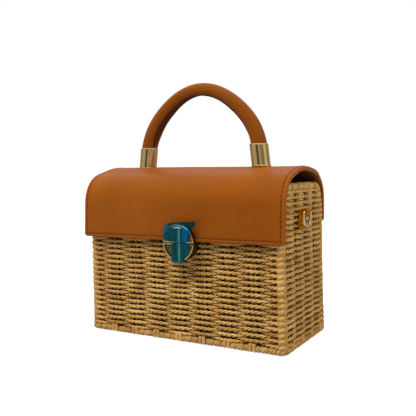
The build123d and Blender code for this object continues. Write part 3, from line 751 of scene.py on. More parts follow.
foot_radius, foot_proud, foot_corner = 3.0 * mm, 2.0 * mm, 4.0 * mm
foot_inset = foot_radius - foot_proud
foot_path = rounded_rectangle(basket_half_width - foot_inset, basket_half_depth - foot_inset, foot_corner)
foot_loop = [(x, y, foot_radius) for x, y in foot_path]
# Painted shade: the foot's border is painted a little darker.
foot_border = ropes("foot_border", [foot_loop], foot_radius, twist=6.4 * mm, step=0.5 * mm, closed=True,
                    tree=wrapped_tree, lump=(7.3 * mm, 0.14), shade=0.66)

brim_radius, brim_inset = 3.5 * mm, 4.0 * mm
back = arc((basket_half_depth - shoulder_radius, wall_top), shoulder_radius - brim_inset, 90, 0, 8)
gable = [(0, back[0][1])] + back
brim_x = basket_half_width - brim_inset
brim_loop = [(brim_x, y, z) for y, z in gable] + [(-brim_x, y, z) for y, z in reversed(gable)]
brim_loop += [(-brim_x, -y, z) for y, z in back] + [(brim_x, -y, z) for y, z in reversed(back)]
# Painted shade: the brim is painted a little darker.
brim_border = ropes("brim_border", [brim_loop], brim_radius, twist=60 * mm, step=0.7 * mm, closed=True,
                    tree=smooth_tree, lump=(side_pitch * 2 / 3, 0.26), shade=0.63)
straw_pieces += [foot_border, brim_border]

# %% Wraps round the corners
wrap_radius, wrap_wander, wrap_sway = 2.2 * mm, 0.35 * mm, 0.25 * mm
wrap_plan = [(8, 4.8), (5.4, 2.2)] + arc((4.4, 4.4), 2.5, 270, 180, 4) + [(2.2, 5.4), (4.8, 8)]
wrap_paths = []
for sx in (-1, 1):
    for sy in (-1, 1):
        for row in range(0, row_count, 2):
            z = foot_height + rope_pitch * (row + 0.5) + wrap_wander * math.sin(5 * row + sx + 2 * sy)
            lean = wall_flare * (1 - z / wall_top) + wrap_sway * math.sin(3 * row + 2 * sx - sy)
            half_x, half_y = basket_half_width + lean, basket_half_depth + lean
            wrap_paths.append([(sx * (half_x - a * mm), sy * (half_y - b * mm), z) for a, b in wrap_plan])
straw_pieces.append(
    ropes("corner_wraps", wrap_paths, wrap_radius, twist=10 * mm, step=0.9 * mm, tree=wrapped_tree))

# %% Woven base
base_count, base_steps = 33, 64
base_radius, base_pitch, base_inset = 1.42 * mm, 2.55 * mm, 5.5 * mm
base_z, base_swing = 2.5 * mm, 0.75 * mm
base_paths = []
for i in range(base_count):
    y = (i - (base_count - 1) / 2) * base_pitch
    path = []
    for k in range(base_steps + 1):
        x = (2 * k / base_steps - 1) * (basket_half_width - base_inset)
        path.append((x, y, base_z + base_swing * (1 - 2 * (i % 2)) * math.cos(math.pi * x / long_pitch)))
    base_paths.append(path)
straw_pieces.append(ropes("base_rows", base_paths, base_radius, rope_twist, step=1.5 * mm))

for piece in straw_pieces:
    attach(piece, "bag_body")
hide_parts("basket")

# %% [markdown]
# ## Leather
# The leather is smooth and waxed: a fine grain, slow changes of tone, and a sheen on the top.
# A pressed line runs along the stitches, and the band outside it is a little redder where the edge is turned.
# The flap's own UV map is in metres along and across the hide, so the lines follow the cut.

# %% Leather finishes
seam_inset = 3.4 * mm
hide_half_width = 100 * mm


def make_leather(name, rolled):
    shine = {"Specular_IOR_Level": 0.3, "Specular_Tint": (1, 0.5, 0.16, 1), "Coat_Roughness": 0.15}
    made, g, sockets = plain_material(name, **shine)
    where = g.where()
    tone = 0.7 * g.noise(where, 16, 2, 0.5) + 0.3 * g.noise(where, 160, 3, 0.6)
    stops = [(0.3, colour(131, 65, 6)), (0.55, colour(144, 75, 9)), (0.75, colour(155, 84, 14))]
    hide = g.ramp(tone, stops)
    cells = g.add("ShaderNodeTexVoronoi", {"feature": "F1"}, {"Vector": where, "Scale": 1150.0})
    grain = g.smooth(cells, 0.05, 0.75)
    height, gloss = 0.35 * grain, 0.11 - 0.04 * grain
    if rolled:
        # Painted shade: the rolled handle is painted darker than the flap, for the shade that falls on it.
        hide = g.mix(0.3, hide, rgba(96, 44, 4))
        # Painted shade: the groove next to the seam and the flange are painted dark maroon.
        hide = g.mix(0.92 * g.smooth(g.read("seam"), 0.2, 0.9), hide, rgba(66, 24, 14))
    else:
        uv = g.separate(g.add("ShaderNodeUVMap"))
        inset = (hide_half_width - abs(uv)).least(uv.out("Y"))
        line = g.smooth(abs(inset - seam_inset), 0.9 * mm, 0.1 * mm)
        border = g.smooth(inset, seam_inset, seam_inset - 1.2 * mm)
        hide = g.mix(0.5 * border, hide, rgba(158, 80, 22))
        hide = g.mix(0.5 * line, hide, rgba(92, 40, 10))
        hide = g.mix(g.smooth(g.read("inside"), 0.4, 0.9), hide, rgba(128, 78, 34))
        height, gloss = height - 1.6 * line, gloss * (1 - 0.9 * border)
    g.put(sockets["Base Color"], hide)
    g.put(sockets["Roughness"], 0.4 + 0.14 * tone + 0.08 * grain)
    g.put(sockets["Coat Weight"], gloss)
    g.roughen(sockets, height, 0.35, 0.12 * mm)
    return made


flap_leather = make_leather("flap_leather", False)
handle_leather = make_leather("handle_leather", True)
print("made", flap_leather.name, "and", handle_leather.name)

# %% [markdown]
# ## The flap
# Flap and back panel are one hide that folds along the back of the brim, so they are one mesh here:
# a section with rounded rims, carried along the hide's profile from the front edge to the back panel's foot.
# At the fold the real hide bends between the bag and the flap, where two rigid pieces would tear apart; here
# the mesh keeps its shape at rest.

# %% A line with rounded corners
def rounded(corners, radii, step):
    """Points along a line whose inner corners are rounded."""
    corners = [Vector(c) for c in corners]
    pieces, start = [], corners[0]
    for before, corner, after, radius in zip(corners, corners[1:], corners[2:], radii):
        a, b = (corner - before).normalized(), (after - corner).normalized()
        turn = math.atan2(a.x * b.y - a.y * b.x, a.dot(b))
        cut = radius * math.tan(abs(turn) / 2)
        side = Vector((-a.y, a.x)) * math.copysign(1, turn)
        centre = corner - a * cut + side * radius
        pieces.append(("line", start, corner - a * cut))
        pieces.append(("arc", centre, -side * radius, turn))
        start = corner + b * cut
    pieces.append(("line", start, corners[-1]))
    points = []
    for piece in pieces:
        if piece[0] == "line":
            count = max(1, round((piece[2] - piece[1]).length / step))
            points += [piece[1].lerp(piece[2], i / count) for i in range(count)]
        else:
            count = max(2, round(abs(piece[3]) * piece[2].length / step))
            turns = [Matrix.Rotation(piece[3] * i / count, 2) for i in range(count)]
            points += [piece[1] + t @ piece[2] for t in turns]
    return points + [corners[-1]]


# %% The hide's profile
hide_thickness, hide_rim, hide_corner = 2.8 * mm, 1.1 * mm, 3 * mm
hide_flare, hide_step, panel_drop = 3.3 * mm, 2 * mm, 24 * mm
hide_shoulder_z, hide_crown_z = 142 * mm, 157.5 * mm
front_edge, front_shoulder = (-52.9 * mm, 90.4 * mm), (-50.2 * mm, hide_shoulder_z)
hide_foot = (hinge_y, hinge_z - panel_drop)
hide_corners = [front_edge, front_shoulder, (ridge_y, hide_crown_z), (hinge_y, hide_shoulder_z), hide_foot]
hide_radii = [30 * mm, 65 * mm, 25 * mm]
hide_line = rounded(hide_corners, hide_radii, hide_step)
distances = [0.0]
for a, b in zip(hide_line, hide_line[1:]):
    distances.append(distances[-1] + (b - a).length)
hide_length = distances[-1]


def on_hide(along):
    """The hide's outer line at a distance from the front edge: place and outward direction, in (y, z)."""
    along = min(max(along, 0), hide_length)
    i = min(bisect_right(distances, along), len(distances) - 1) - 1
    a, b = hide_line[i], hide_line[i + 1]
    place = a.lerp(b, (along - distances[i]) / (distances[i + 1] - distances[i]))
    before, after = hide_line[max(i - 1, 0)], hide_line[min(i + 2, len(hide_line) - 1)]
    direction = (after - before).normalized()
    return place, Vector((-direction.y, direction.x))


def hide_half(along):
    """Half the hide's width: it widens towards the front, and its corners are rounded."""
    place, _ = on_hide(along)
    share = (hinge_y - place.x) / (hinge_y - front_edge[0])
    inward = max(hide_corner - min(along, hide_length - along), 0)
    rounding = hide_corner - math.sqrt(hide_corner**2 - inward**2)
    return hide_half_width + hide_flare * share - rounding


print("hide", round(hide_length / mm, 1), "mm long")

# %% [markdown]
# Leather is never flat. Slow waves run over the flap, it bulges at the left of the front and it is fuller
# over the back of the brim. The ridge tilts a little from side to side. The back panel stands out
# from the wall, so that it clears the ropes when the flap opens.

# %% Where a spot of the hide is
wave_height, left_bulge, fuller_back, panel_out = 0.25 * mm, 1.4 * mm, 1.9 * mm, 0.9 * mm
bulge_along, bulge_width = 56 * mm, 15 * mm
fuller_along, fuller_width = 127 * mm, 14 * mm
panel_start, panel_change = 140 * mm, 12 * mm
hide_tilt, tilt_width = 1.3 * mm, 36 * mm


def bell(offset, width):
    """1 in the middle, falling to 0 on both sides."""
    return math.exp(-((offset / width) ** 2))


def limited(value):
    """A value kept between 0 and 1."""
    return min(max(value, 0), 1)


def panel_share(along):
    """0 on the flap, 1 on the back panel."""
    return limited((along - panel_start) / panel_change)


def hide_swell(x, along):
    """How far the hide stands out from its profile."""
    waves = wave_height * math.sin(31 * along + 17 * x) * math.sin(23 * x + 1.3)
    bulge = left_bulge * max(-x / hide_half(along), 0) * bell(along - bulge_along, bulge_width)
    fuller = fuller_back * bell(along - fuller_along, fuller_width)
    on_panel = panel_share(along)
    return waves * (1 - on_panel) + bulge + fuller + panel_out * on_panel


def hide_spot(x, along, below):
    """A spot of the hide: its place across and along it, and how far it lies below the outer face."""
    place, out = on_hide(along)
    spot = place - out * (below - hide_swell(x, along))
    drop = hide_tilt * bell(place.x - ridge_y, tilt_width) * x / hide_half(along)
    return Vector((x, spot.x, spot.y - drop))


# %% The hide's mesh
hide_columns = 44
edge_reach, edge_fullness = 7 * mm, 0.45


def section_shape(half, thick):
    """Points round the hide's section, as (across, below the outer face, share of inside)."""
    across = [(half - hide_rim) * (2 * i / hide_columns - 1) for i in range(hide_columns + 1)]
    rim = [math.radians(a) for a in (30, 60, 90, 120, 150)]
    outer = [(x, 0.0, 0.0) for x in across]
    right = [(half - hide_rim + hide_rim * math.sin(a), 0.5 - 0.5 * math.cos(a), 0.0) for a in rim]
    inner = [(x, 1.0, 1.0) for x in reversed(across)]
    left = [(-x, below, 0.0) for x, below, _ in reversed(right)]
    middle = hide_thickness / 2
    ring = outer + right + inner + left
    return [(x, middle + (below - 0.5) * thick, inside) for x, below, inside in ring]


def make_hide():
    ends = [hide_rim * (1 - math.cos(math.radians(a))) for a in (0, 22, 45, 68)]
    middle = [d for d in distances if hide_rim < d < hide_length - hide_rim]
    stations = ends + middle + [hide_length - d for d in reversed(ends)]
    points, uvs, insides = [], [], []
    for along in stations:
        half = hide_half(along)
        short = max(1 - min(along, hide_length - along) / hide_rim, 0)
        thick = hide_thickness * math.sqrt(max(1 - short**2, 0.0004))
        fullness = edge_fullness * (1 - panel_share(along))
        for x, below, inside in section_shape(half, thick):
            turned_edge = 1 + fullness * max(1 - (half - abs(x)) / edge_reach, 0) ** 0.5
            points.append(hide_spot(x, along, below * turned_edge))
            uvs.append((x / half * hide_half_width, along))
            insides.append(inside)
    ring = len(points) // len(stations)
    front, foot = end_faces(len(stations), ring)
    faces = ring_faces(len(stations), ring) + [front[::-1], foot]
    hide = add_mesh("leather_flap", points, faces, flap_leather)
    layer = hide.data.uv_layers.new(name="hide")
    for loop in hide.data.loops:
        layer.data[loop.index].uv = uvs[loop.vertex_index]
    give(hide, "inside", insides)
    return hide


def face_outwards(piece):
    shape = bmesh.new()
    shape.from_mesh(piece.data)
    bmesh.ops.recalc_face_normals(shape, faces=shape.faces)
    shape.to_mesh(piece.data)
    shape.free()
    piece.data.shade_smooth()
    return piece


hide = face_outwards(make_hide())
print("hide faces", len(hide.data.polygons))

# %% [markdown]
# ## Stitches
# A brown thread runs just inside the hide's edge, right round it. The path is laid on the hide once,
# and Geometry Nodes set a short thread on it at every step, turned along the path and flat on the leather.

# %% Thread and stitch tree
thread, thread_graph, thread_sockets = plain_material("thread", Roughness=0.8, Specular_IOR_Level=0.05)
thread_tone = thread_graph.noise(thread_graph.where(), 900)
thread_brown = thread_graph.mix(thread_tone, rgba(94, 40, 15), rgba(126, 60, 25))
thread_graph.put(thread_sockets["Base Color"], thread_brown)


def make_stitch_tree():
    sizes = {"Pitch": float, "Length": float, "Thickness": float, "Material": bpy.types.Material}
    g, size = geometry_tree("stitches", sizes)
    path = even_steps(g, g.add("GeometryNodeMeshToCurve", {}, {0: size["Geometry"]}), size["Pitch"])
    ball = g.add("GeometryNodeMeshUVSphere", {}, {"Segments": 6, "Rings": 5, "Radius": 0.5})
    shape = g.vector(size["Length"], size["Thickness"], 0.45 * size["Thickness"])
    out = stored(g, "out", "FLOAT_VECTOR")
    axes = {"Primary Axis": g.add("GeometryNodeInputTangent"), "Secondary Axis": out}
    turned = g.add("FunctionNodeAxesToRotation", {"primary_axis": "X", "secondary_axis": "Z"}, axes)
    each = {"Points": path, "Instance": ball, "Rotation": turned, "Scale": shape}
    close_tree(g, g.add("GeometryNodeInstanceOnPoints", {}, each), size["Material"])
    return g


stitch_tree = make_stitch_tree()
print("made", thread.name)

# %% Stitches round the hide
stitch_lift, side_steps, end_steps = 0.05 * mm, 160, 60


def seam_spot(share, along):
    """A spot on the seam, by its share of the half width there, and the way the hide faces."""
    _, out = on_hide(along)
    return hide_spot(share * hide_half(along), along, -stitch_lift), Vector((0, out.x, out.y))


def seam_share(along):
    return 1 - seam_inset / hide_half(along)


low, high = seam_inset, hide_length - seam_inset
up_side = [low + (high - low) * i / side_steps for i in range(side_steps + 1)]
across = [1 - 2 * i / end_steps for i in range(1, end_steps)]
seam = [seam_spot(seam_share(s), s) for s in up_side]
seam += [seam_spot(seam_share(high) * share, high) for share in across]
seam += [seam_spot(-seam_share(s), s) for s in reversed(up_side)]
seam += [seam_spot(-seam_share(low) * share, low) for share in across]
seam_mesh = path_mesh("flap_stitches", [[p for p, _ in seam]], closed=True)
outs = seam_mesh.attributes.new("out", "FLOAT_VECTOR", "POINT")
outs.data.foreach_set("vector", [c for _, n in seam for c in n])
stitch_sizes = {"Pitch": 4.0 * mm, "Length": 2.7 * mm, "Thickness": 1.5 * mm, "Material": thread}
stitches = grow("flap_stitches", stitch_tree, stitch_sizes, seam_mesh)

# %% The hide's place, baked into its mesh
for piece in (hide, stitches):
    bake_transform(piece)
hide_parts("flap", "flap_back")

# %% [markdown]
# ## The handle
# A strip of leather is rolled round a cord and sewn shut along its inner side, so it is a tube that is
# thickest at the ends. The seam stands out as a flange on the inner side, with a groove next to it,
# and the leather puckers where it is pushed into the ferrules. The groove and the flange are painted
# dark maroon, as painted shade.
# One helper sweeps a section along a line in a plane, for the handle and for the rings.

# %% Tubes along a line in a plane
def planar_tube(name, line, radii, plane_normal, sides, material, closed=False, shape=lambda i, angle: 1):
    """Sweeps a round section along points in a plane. shape scales the section's radius."""
    count = len(line)
    points = []
    for i, place in enumerate(line):
        before = line[(i - 1) % count if closed else max(i - 1, 0)]
        after = line[(i + 1) % count if closed else min(i + 1, count - 1)]
        side = (after - before).normalized().cross(plane_normal)
        for k in range(sides):
            a = 2 * math.pi * k / sides
            radius = radii[i] * shape(i, a)
            points.append(place + (side * math.cos(a) + plane_normal * math.sin(a)) * radius)
    ends = [] if closed else end_faces(count, sides)
    return face_outwards(add_mesh(name, points, ring_faces(count, sides, closed) + ends, material))


# %% The handle's arch
handle_centre_z, handle_arch, handle_lean = 166.67 * mm, 60 * mm, 7
handle_flattening, arch_steps = 2.0 * mm, 72
insert_length, insert_steps = 12 * mm, 6
arch = []
for i in range(arch_steps + 1):
    a = math.radians(handle_lean + (180 - 2 * handle_lean) * i / arch_steps)
    reach = handle_arch - handle_flattening * math.sin(2 * math.pi * i / arch_steps) ** 2
    arch.append(Vector((reach * math.cos(a), handle_centre_z + reach * math.sin(a))))
lean = math.radians(handle_lean)
insert_way = Vector((math.sin(lean), -math.cos(lean)))
foot_right = [arch[0] + insert_way * insert_length * i / insert_steps for i in range(insert_steps, 0, -1)]
foot_left = [Vector((-p.x, p.y)) for p in reversed(foot_right)]
handle_points = [Vector((handle_x + p.x, ridge_y, p.y)) for p in foot_right + arch + foot_left]
arch_first, arch_last = len(foot_right), len(foot_right) + len(arch) - 1
print("handle line of", len(handle_points), "points")

# %% The handle's section
groove_angle, flange_angle = math.radians(162), math.radians(202)


def end_share(i):
    """-1 at the right end of the arch, 0 at its top and 1 at its left end."""
    return 2 * limited((i - arch_first) / (arch_last - arch_first)) - 1


def ferrule_gap(i):
    """Steps along the arch to the nearer ferrule, below 0 inside it."""
    return min(i - arch_first, arch_last - i)


def near_angle(angle, middle, width):
    """1 at an angle round the tube, falling to 0 on both sides of it."""
    return bell(math.remainder(angle - middle, 2 * math.pi), width)


def handle_shape(i, angle):
    """The flange and its groove, which end before the ferrules, and puckers near them."""
    gap = ferrule_gap(i)
    grown = limited(gap / 7)
    leg = min(abs(end_share(i)) / 0.45, 1)
    flange = 0.36 * near_angle(angle, flange_angle, 0.42) * (0.25 + 0.75 * grown) * (gap >= 0) * leg
    groove = 0.16 * near_angle(angle, groove_angle, 0.16) * grown
    pucker = 0.025 * math.exp(-abs(gap) / 4) * math.cos(7 * angle + 0.5 * i)
    return 1 + flange - groove + pucker


# %% Handle
handle_thin, handle_fuller, handle_sides = 5.85 * mm, 1.35 * mm, 72
handle_radii = [handle_thin + handle_fuller * end_share(i) ** 2 for i in range(len(handle_points))]
handle = planar_tube("rolled_handle", handle_points, handle_radii, Vector((0, -1, 0)), handle_sides,
                     handle_leather, shape=handle_shape)
# Painted shade at each point: most in the groove next to the seam, and on the flange away from the ferrules.
seam_painted_shade = []
for i in range(len(handle_points)):
    flange_shade_share = limited(ferrule_gap(i) / 12)
    for k in range(handle_sides):
        angle = 2 * math.pi * k / handle_sides
        seam_groove_shade = near_angle(angle, groove_angle, 0.28)
        seam_painted_shade.append(seam_groove_shade + flange_shade_share * near_angle(angle, flange_angle, 0.62))
give(handle, "seam", seam_painted_shade)
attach(handle, "flap_body")
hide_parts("handle")
print("handle top", round(max(v.co.z for v in handle.data.vertices) / mm, 1))

# %% [markdown]
# ## Brass
# The fittings are cast or pressed brass, polished and lacquered. Polished metal is mostly what it mirrors,
# so the shader is simple: a metal with a warm colour, a little unevenness and faint scratches.
# The clasp's faces are duller than its rims, which is a mask on the distance from the clasp's centre.

# %% Brass finishes
def make_brass(name, tint, roughness, dull=None, edge=(1, 0.85, 0.6, 1)):
    made, g, sockets = plain_material(name, Metallic=1.0, Specular_Tint=edge)
    where = g.where()
    patches = g.noise(where, 120, 3, 0.6)
    warm = g.mix(patches, (*[0.86 * c for c in tint], 1), (*tint, 1))
    rough = roughness + 0.08 * patches
    if dull:
        spot = g.separate(where)
        x, z = spot - clasp_x, spot.out("Z") - clasp_z
        radius = (x * x + z * z) ** 0.5
        rim = g.smooth(abs(radius - clasp_radius + 0.5 * mm), 0.45 * mm, 0.25 * mm)
        straight = g.smooth(abs(z), 1.4 * mm, 1.2 * mm)
        bright = rim.most(straight)
        warm = g.mix(bright, (*dull, 1), warm)
        rough = rough + 0.2 * (1 - bright)
    g.put(sockets["Base Color"], warm)
    g.put(sockets["Roughness"], rough)
    g.roughen(sockets, g.noise(where, 2400, 1), 0.02, 0.05 * mm)
    return made


brass = make_brass("brass", (0.66, 0.44, 0.18), 0.12)
plate_brass = make_brass("plate_brass", (0.62, 0.25, 0.01), 0.3, edge=(1, 0.5, 0.05, 1))
clasp_brass = make_brass("clasp_brass", (0.6, 0.49, 0.27), 0.16, dull=(0.11, 0.085, 0.035))
pale_brass = make_brass("ring_brass", (0.74, 0.6, 0.36), 0.15)
steel = make_brass("steel", (0.56, 0.55, 0.53), 0.3)
print("metals", [m.name for m in (brass, plate_brass, clasp_brass, pale_brass, steel)])

# %% [markdown]
# ## Ferrules
# A ferrule is a short drawn cup that holds the handle's end on the ridge. It is a profile turned round
# an axis: a straight wall with a rolled lip at both ends. The axis leans with the handle, but every ring
# lies level, so the foot sits flat in the leather.

# %% Ferrules
ferrule_radius, ferrule_sides, ferrule_sink = 8.4 * mm, 48, 1.2 * mm
ferrule_foot_x, ferrule_top_x, ferrule_top_z = 61.95 * mm, 59.55 * mm, 173.98 * mm
ferrule_wall = [(0.0, 0.90), (0.0, 1.0), (0.03, 1.04), (0.06, 1.04), (0.085, 1.0), (0.1, 0.998), (0.5, 0.996),
                (0.9, 1.0), (0.93, 1.0), (0.975, 0.99), (1.0, 0.95), (0.995, 0.89), (0.9, 0.87)]
for end, name in ((1, "ferrule_right"), (-1, "ferrule_left")):
    foot = Vector((handle_x + end * ferrule_foot_x, ridge_y, ridge_z - ferrule_sink))
    top = Vector((handle_x + end * ferrule_top_x, ridge_y, ferrule_top_z))
    points = []
    for share, wide in ferrule_wall:
        for k in range(ferrule_sides):
            a = 2 * math.pi * k / ferrule_sides
            outward = Vector((math.cos(a), math.sin(a), 0))
            points.append(foot.lerp(top, share) + outward * ferrule_radius * wide)
    size = (len(ferrule_wall), ferrule_sides)
    ferrule = face_outwards(add_mesh(name, points, ring_faces(*size) + end_faces(*size), brass))
    ferrule.data.set_sharp_from_angle(angle=math.radians(50))
    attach(ferrule, "flap_body")
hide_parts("ferrules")

# %% [markdown]
# ## Clasp, plates and small metal
# These CAD solids have the right shape but knife-sharp edges. Real castings have small rounded ones that
# catch the light. So each is copied, its loose triangles are joined, and a Bevel modifier rounds the edges.

# %% Softened copies of CAD solids
edge_angle, flat_angle, weld_distance = math.radians(32), math.radians(1.5), 0.002 * mm


def paint(mesh, material):
    """Gives a mesh one material, in place of any that it has."""
    mesh.materials.clear()
    mesh.materials.append(material)


def softened(node, width, material):
    shape = bmesh.new()
    shape.from_mesh(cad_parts[node].data)
    bmesh.ops.remove_doubles(shape, verts=shape.verts, dist=weld_distance)
    bmesh.ops.dissolve_limit(shape, angle_limit=flat_angle, verts=shape.verts, edges=shape.edges)
    mesh = bpy.data.meshes.new(node + "_soft")
    shape.to_mesh(mesh)
    shape.free()
    paint(mesh, material)
    piece = bpy.data.objects.new(node + "_soft", mesh)
    bpy.context.collection.objects.link(piece)
    bevel = piece.modifiers.new("rounded edges", "BEVEL")
    bevel.width, bevel.segments = width, 2
    bevel.limit_method, bevel.angle_limit = "ANGLE", edge_angle
    finished = as_mesh(piece)
    piece.modifiers.clear()
    piece.data = finished
    finished.shade_smooth()
    finished.set_sharp_from_angle(angle=edge_angle)
    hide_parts(node)
    print(node, len(finished.polygons), "faces")
    return piece


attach(softened("clasp_upper", 0.22 * mm, clasp_brass), "flap_body")
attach(softened("clasp_base", 0.22 * mm, clasp_brass), "bag_body")
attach(softened("clasp_button", 0.25 * mm, clasp_brass), "button_body")
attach(softened("ring_plates", 0.25 * mm, plate_brass), "bag_body")

# %% [markdown]
# Behind the button is a leaf spring: its foot is held in the clasp's cup, and its wings lie against
# the button's legs. When the button is pressed, the real leaf bends. Here it is a softened copy,
# with its place at rest baked into its mesh.

# %% The clasp's leaf spring
leaf_spring = softened("clasp_catch", 0.05 * mm, steel)
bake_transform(leaf_spring)

# %% Hidden fasteners keep their CAD shape
hidden_fasteners = ["clasp_upper_backing", "clasp_base_backing", "handle_screws", "handle_washers",
                    "clasp_screws", "clasp_rivets", "ring_backings"]
for node in hidden_fasteners:
    paint(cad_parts[node].data, steel)
paint(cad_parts["ring_rivets"].data, brass)
print("steel on", len(hidden_fasteners), "kinds of hidden fasteners")

# %% [markdown]
# ## Rings and their rivets
# Each side plate has a knuckle, and a D-shaped ring hangs in it: a wire bent round and closed.
# It is the tube helper again, on a line with rounded corners. The rivets' domed heads are a Geometry Nodes
# tree with one low dome, set on a point for each rivet.

# %% Rings
wire, ring_half_width, ring_height = 1.1 * mm, 9 * mm, 13 * mm
bar_corner, bow_corner, wire_step, wire_sides = 1.6 * mm, 5.9 * mm, 0.8 * mm, 16
half_bar, drop = ring_half_width - wire, ring_height - wire
ring_corners = [(0, 0), (half_bar, 0), (half_bar, -drop), (-half_bar, -drop), (-half_bar, 0), (0, 0)]
ring_line = rounded(ring_corners, [bar_corner, bow_corner, bow_corner, bar_corner], wire_step)[:-1]
for end, side in ((1, "right"), (-1, "left")):
    line = [Vector((end * ring_x, ring_y + p.x, ring_bar_z + p.y)) for p in ring_line]
    ring = planar_tube(f"d_ring_{side}", line, [wire] * len(line), Vector((1, 0, 0)), wire_sides, pale_brass,
                       closed=True)
    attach(ring, f"{side}_ring_body")
    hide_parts(f"ring_{side}")
    print(ring.name, len(ring.data.polygons), "faces")


# %% Rivet heads
def make_rivet_tree():
    g, size = geometry_tree("rivet heads", {"Radius": float, "Height": float, "Material": bpy.types.Material})
    dome = g.add("GeometryNodeMeshUVSphere", {}, {"Segments": 12, "Rings": 8, "Radius": 1.0})
    low = g.vector(size["Height"], size["Radius"], size["Radius"])
    heads = {"Points": size["Geometry"], "Instance": dome, "Scale": low}
    close_tree(g, g.add("GeometryNodeInstanceOnPoints", {}, heads), size["Material"])
    return g


rivet_x, rivet_spread, rivet_z = 101.35 * mm, 3.5 * mm, 105.1 * mm
rivet_places = [(end * rivet_x, ring_y + side * rivet_spread, rivet_z) for end in (-1, 1) for side in (-1, 1)]
rivet_mesh = path_mesh("ring_rivet_heads", [[p] for p in rivet_places])
rivet_sizes = {"Radius": 1.7 * mm, "Height": 0.8 * mm, "Material": plate_brass}
rivets = grow("ring_rivet_heads", make_rivet_tree(), rivet_sizes, rivet_mesh)
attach(rivets, "bag_body")

# %% [markdown]
# ## Protective film
# The clasp still wears its blue film, one piece on each half. It is thin, glossy and a little see-through.
# Its colour holds painted reflections: upright streaks, a pale stripe, a blue sheen, arcs along the rim
# and a glint. Its upper corner has come loose and curls off the leather.

# %% Film finish
def make_film():
    made, g, sockets = plain_material("film", Specular_IOR_Level=0.16, Specular_Tint=(0.2, 0.8, 1, 1))
    where = g.where()
    spot = g.separate(where)
    across, up = (spot - clasp_x) / clasp_radius, (spot.out("Z") - clasp_z) / clasp_radius
    radius = (across * across + up * up) ** 0.5
    bearing = up.arctan2(across)
    # Painted reflection: the base teal is streaked upright in light and dark, as the film's creases would
    # mirror the room.
    painted_streak_place = g.add("ShaderNodeMapping", {}, {"Vector": where, "Scale": (1, 1, 0.05)})
    film = g.mix(g.smooth(g.noise(painted_streak_place, 800, 2, 0.6), 0.3, 0.7), rgba(0, 44, 52), rgba(10, 80, 86))
    # Painted highlight: a pale upright stripe. Painted sheen: a bright blue patch at the upper right.
    painted_highlight_stripe = g.smooth(abs(across - 0.08), 0.11, 0.02)
    painted_blue_sheen = g.smooth(abs(across - 0.5), 0.32, 0.0) * g.smooth(up, -0.15, 0.25) * g.smooth(radius, 1.0, 0.8)
    beyond = g.smooth(radius, 1.0, 1.07)
    rim = g.smooth(abs(radius - 1), 0.06, 0.02)
    glint = g.smooth(abs(radius - 0.87), 0.035, 0.01) * g.smooth(abs(bearing - 1.6), 0.4, 0.1)
    # Beyond the rim the film is painted darker above, and paler at its left and below. Along the rim are
    # painted reflections in pale, blue and bright cyan arcs, and under them a painted glint.
    layers = [
        (0.55 * painted_highlight_stripe, (92, 146, 138)),
        (0.85 * painted_blue_sheen, (0, 88, 138)),
        (0.95 * beyond * (up > 0), (0, 36, 42)),
        (0.7 * beyond * g.smooth(across, -0.5, -0.8), (36, 88, 108)),
        (0.6 * beyond * (up < 0), (28, 104, 124)),
        (0.6 * rim * g.smooth(abs(bearing - 1.6), 0.6, 0.2), (96, 136, 134)),
        (0.8 * rim * g.smooth(abs(bearing - 0.75), 0.4, 0.1), (0, 116, 178)),
        (0.8 * rim * g.smooth(abs(bearing - 1.08), 0.3, 0.1), (80, 178, 204)),
        (0.8 * glint, (226, 238, 226)),
    ]
    for share, tint in layers:
        film = g.mix(share, film, rgba(*tint))
    g.put(sockets["Base Color"], film)
    g.put(sockets["Alpha"], 0.98 - 0.08 * g.noise(where, 60) * (1 - beyond))
    g.put(sockets["Roughness"], 0.1 + 0.12 * g.noise(where, 200))
    return made


film_blue = make_film()
print("made", film_blue.name)

# %% Film patches
film_columns, film_rows = 28, 8
film_proud, ripple_height, ripple_depth = 0.28 * mm, 0.16 * mm, 0.1 * mm
rim_rise, rim_fall, corner_curl = 0.25 * mm, 0.9 * mm, 2.0 * mm


def film_patch(name, left, right, node, body, stand_off):
    """A gridded film between a left and a right edge. The edges are shares of the clasp's radius."""
    points = []
    rows = (len(left) - 1) * film_rows
    for i in range(rows + 1):
        at = i / film_rows
        k = min(int(at), len(left) - 2)
        a = Vector(left[k]).lerp(Vector(left[k + 1]), at - k)
        b = Vector(right[k]).lerp(Vector(right[k + 1]), at - k)
        for c in range(film_columns + 1):
            spot = a.lerp(b, c / film_columns)
            ripple = ripple_height * math.sin(9 * spot.x + 2.5 * spot.y) * math.sin(4 * spot.y + 1)
            proud = film_proud + max(ripple, -ripple_depth) + stand_off(spot)
            x, z = clasp_x + spot.x * clasp_radius, clasp_z + spot.y * clasp_radius
            points.append((x, clasp_face_y - proud, z))
    width = film_columns + 1
    firsts = [i * width + c for i in range(rows) for c in range(film_columns)]
    faces = [(first, first + 1, first + width + 1, first + width) for first in firsts]
    film = add_mesh(name, points, faces, film_blue)
    film.data.shade_smooth()
    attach(film, body)
    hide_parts(node)
    box = [max(p[i] for p in points) - min(p[i] for p in points) for i in (0, 2)]
    area = sum(f.area for f in film.data.polygons)
    min(area, box[0] * box[1])
    print(name, [round(b / mm, 1) for b in box], "mm")


def over_rim(spot):
    """The film is raised along the rim and sinks beyond it."""
    beyond = limited((spot.length - 1) / 0.14)
    return rim_rise * bell(spot.length - 0.96, 0.04) - rim_fall * beyond**2


def upper_stand_off(spot):
    """As over_rim, and the loose corner at the upper right stands off."""
    return over_rim(spot) + corner_curl * max(spot.x + spot.y - 1.5, 0)


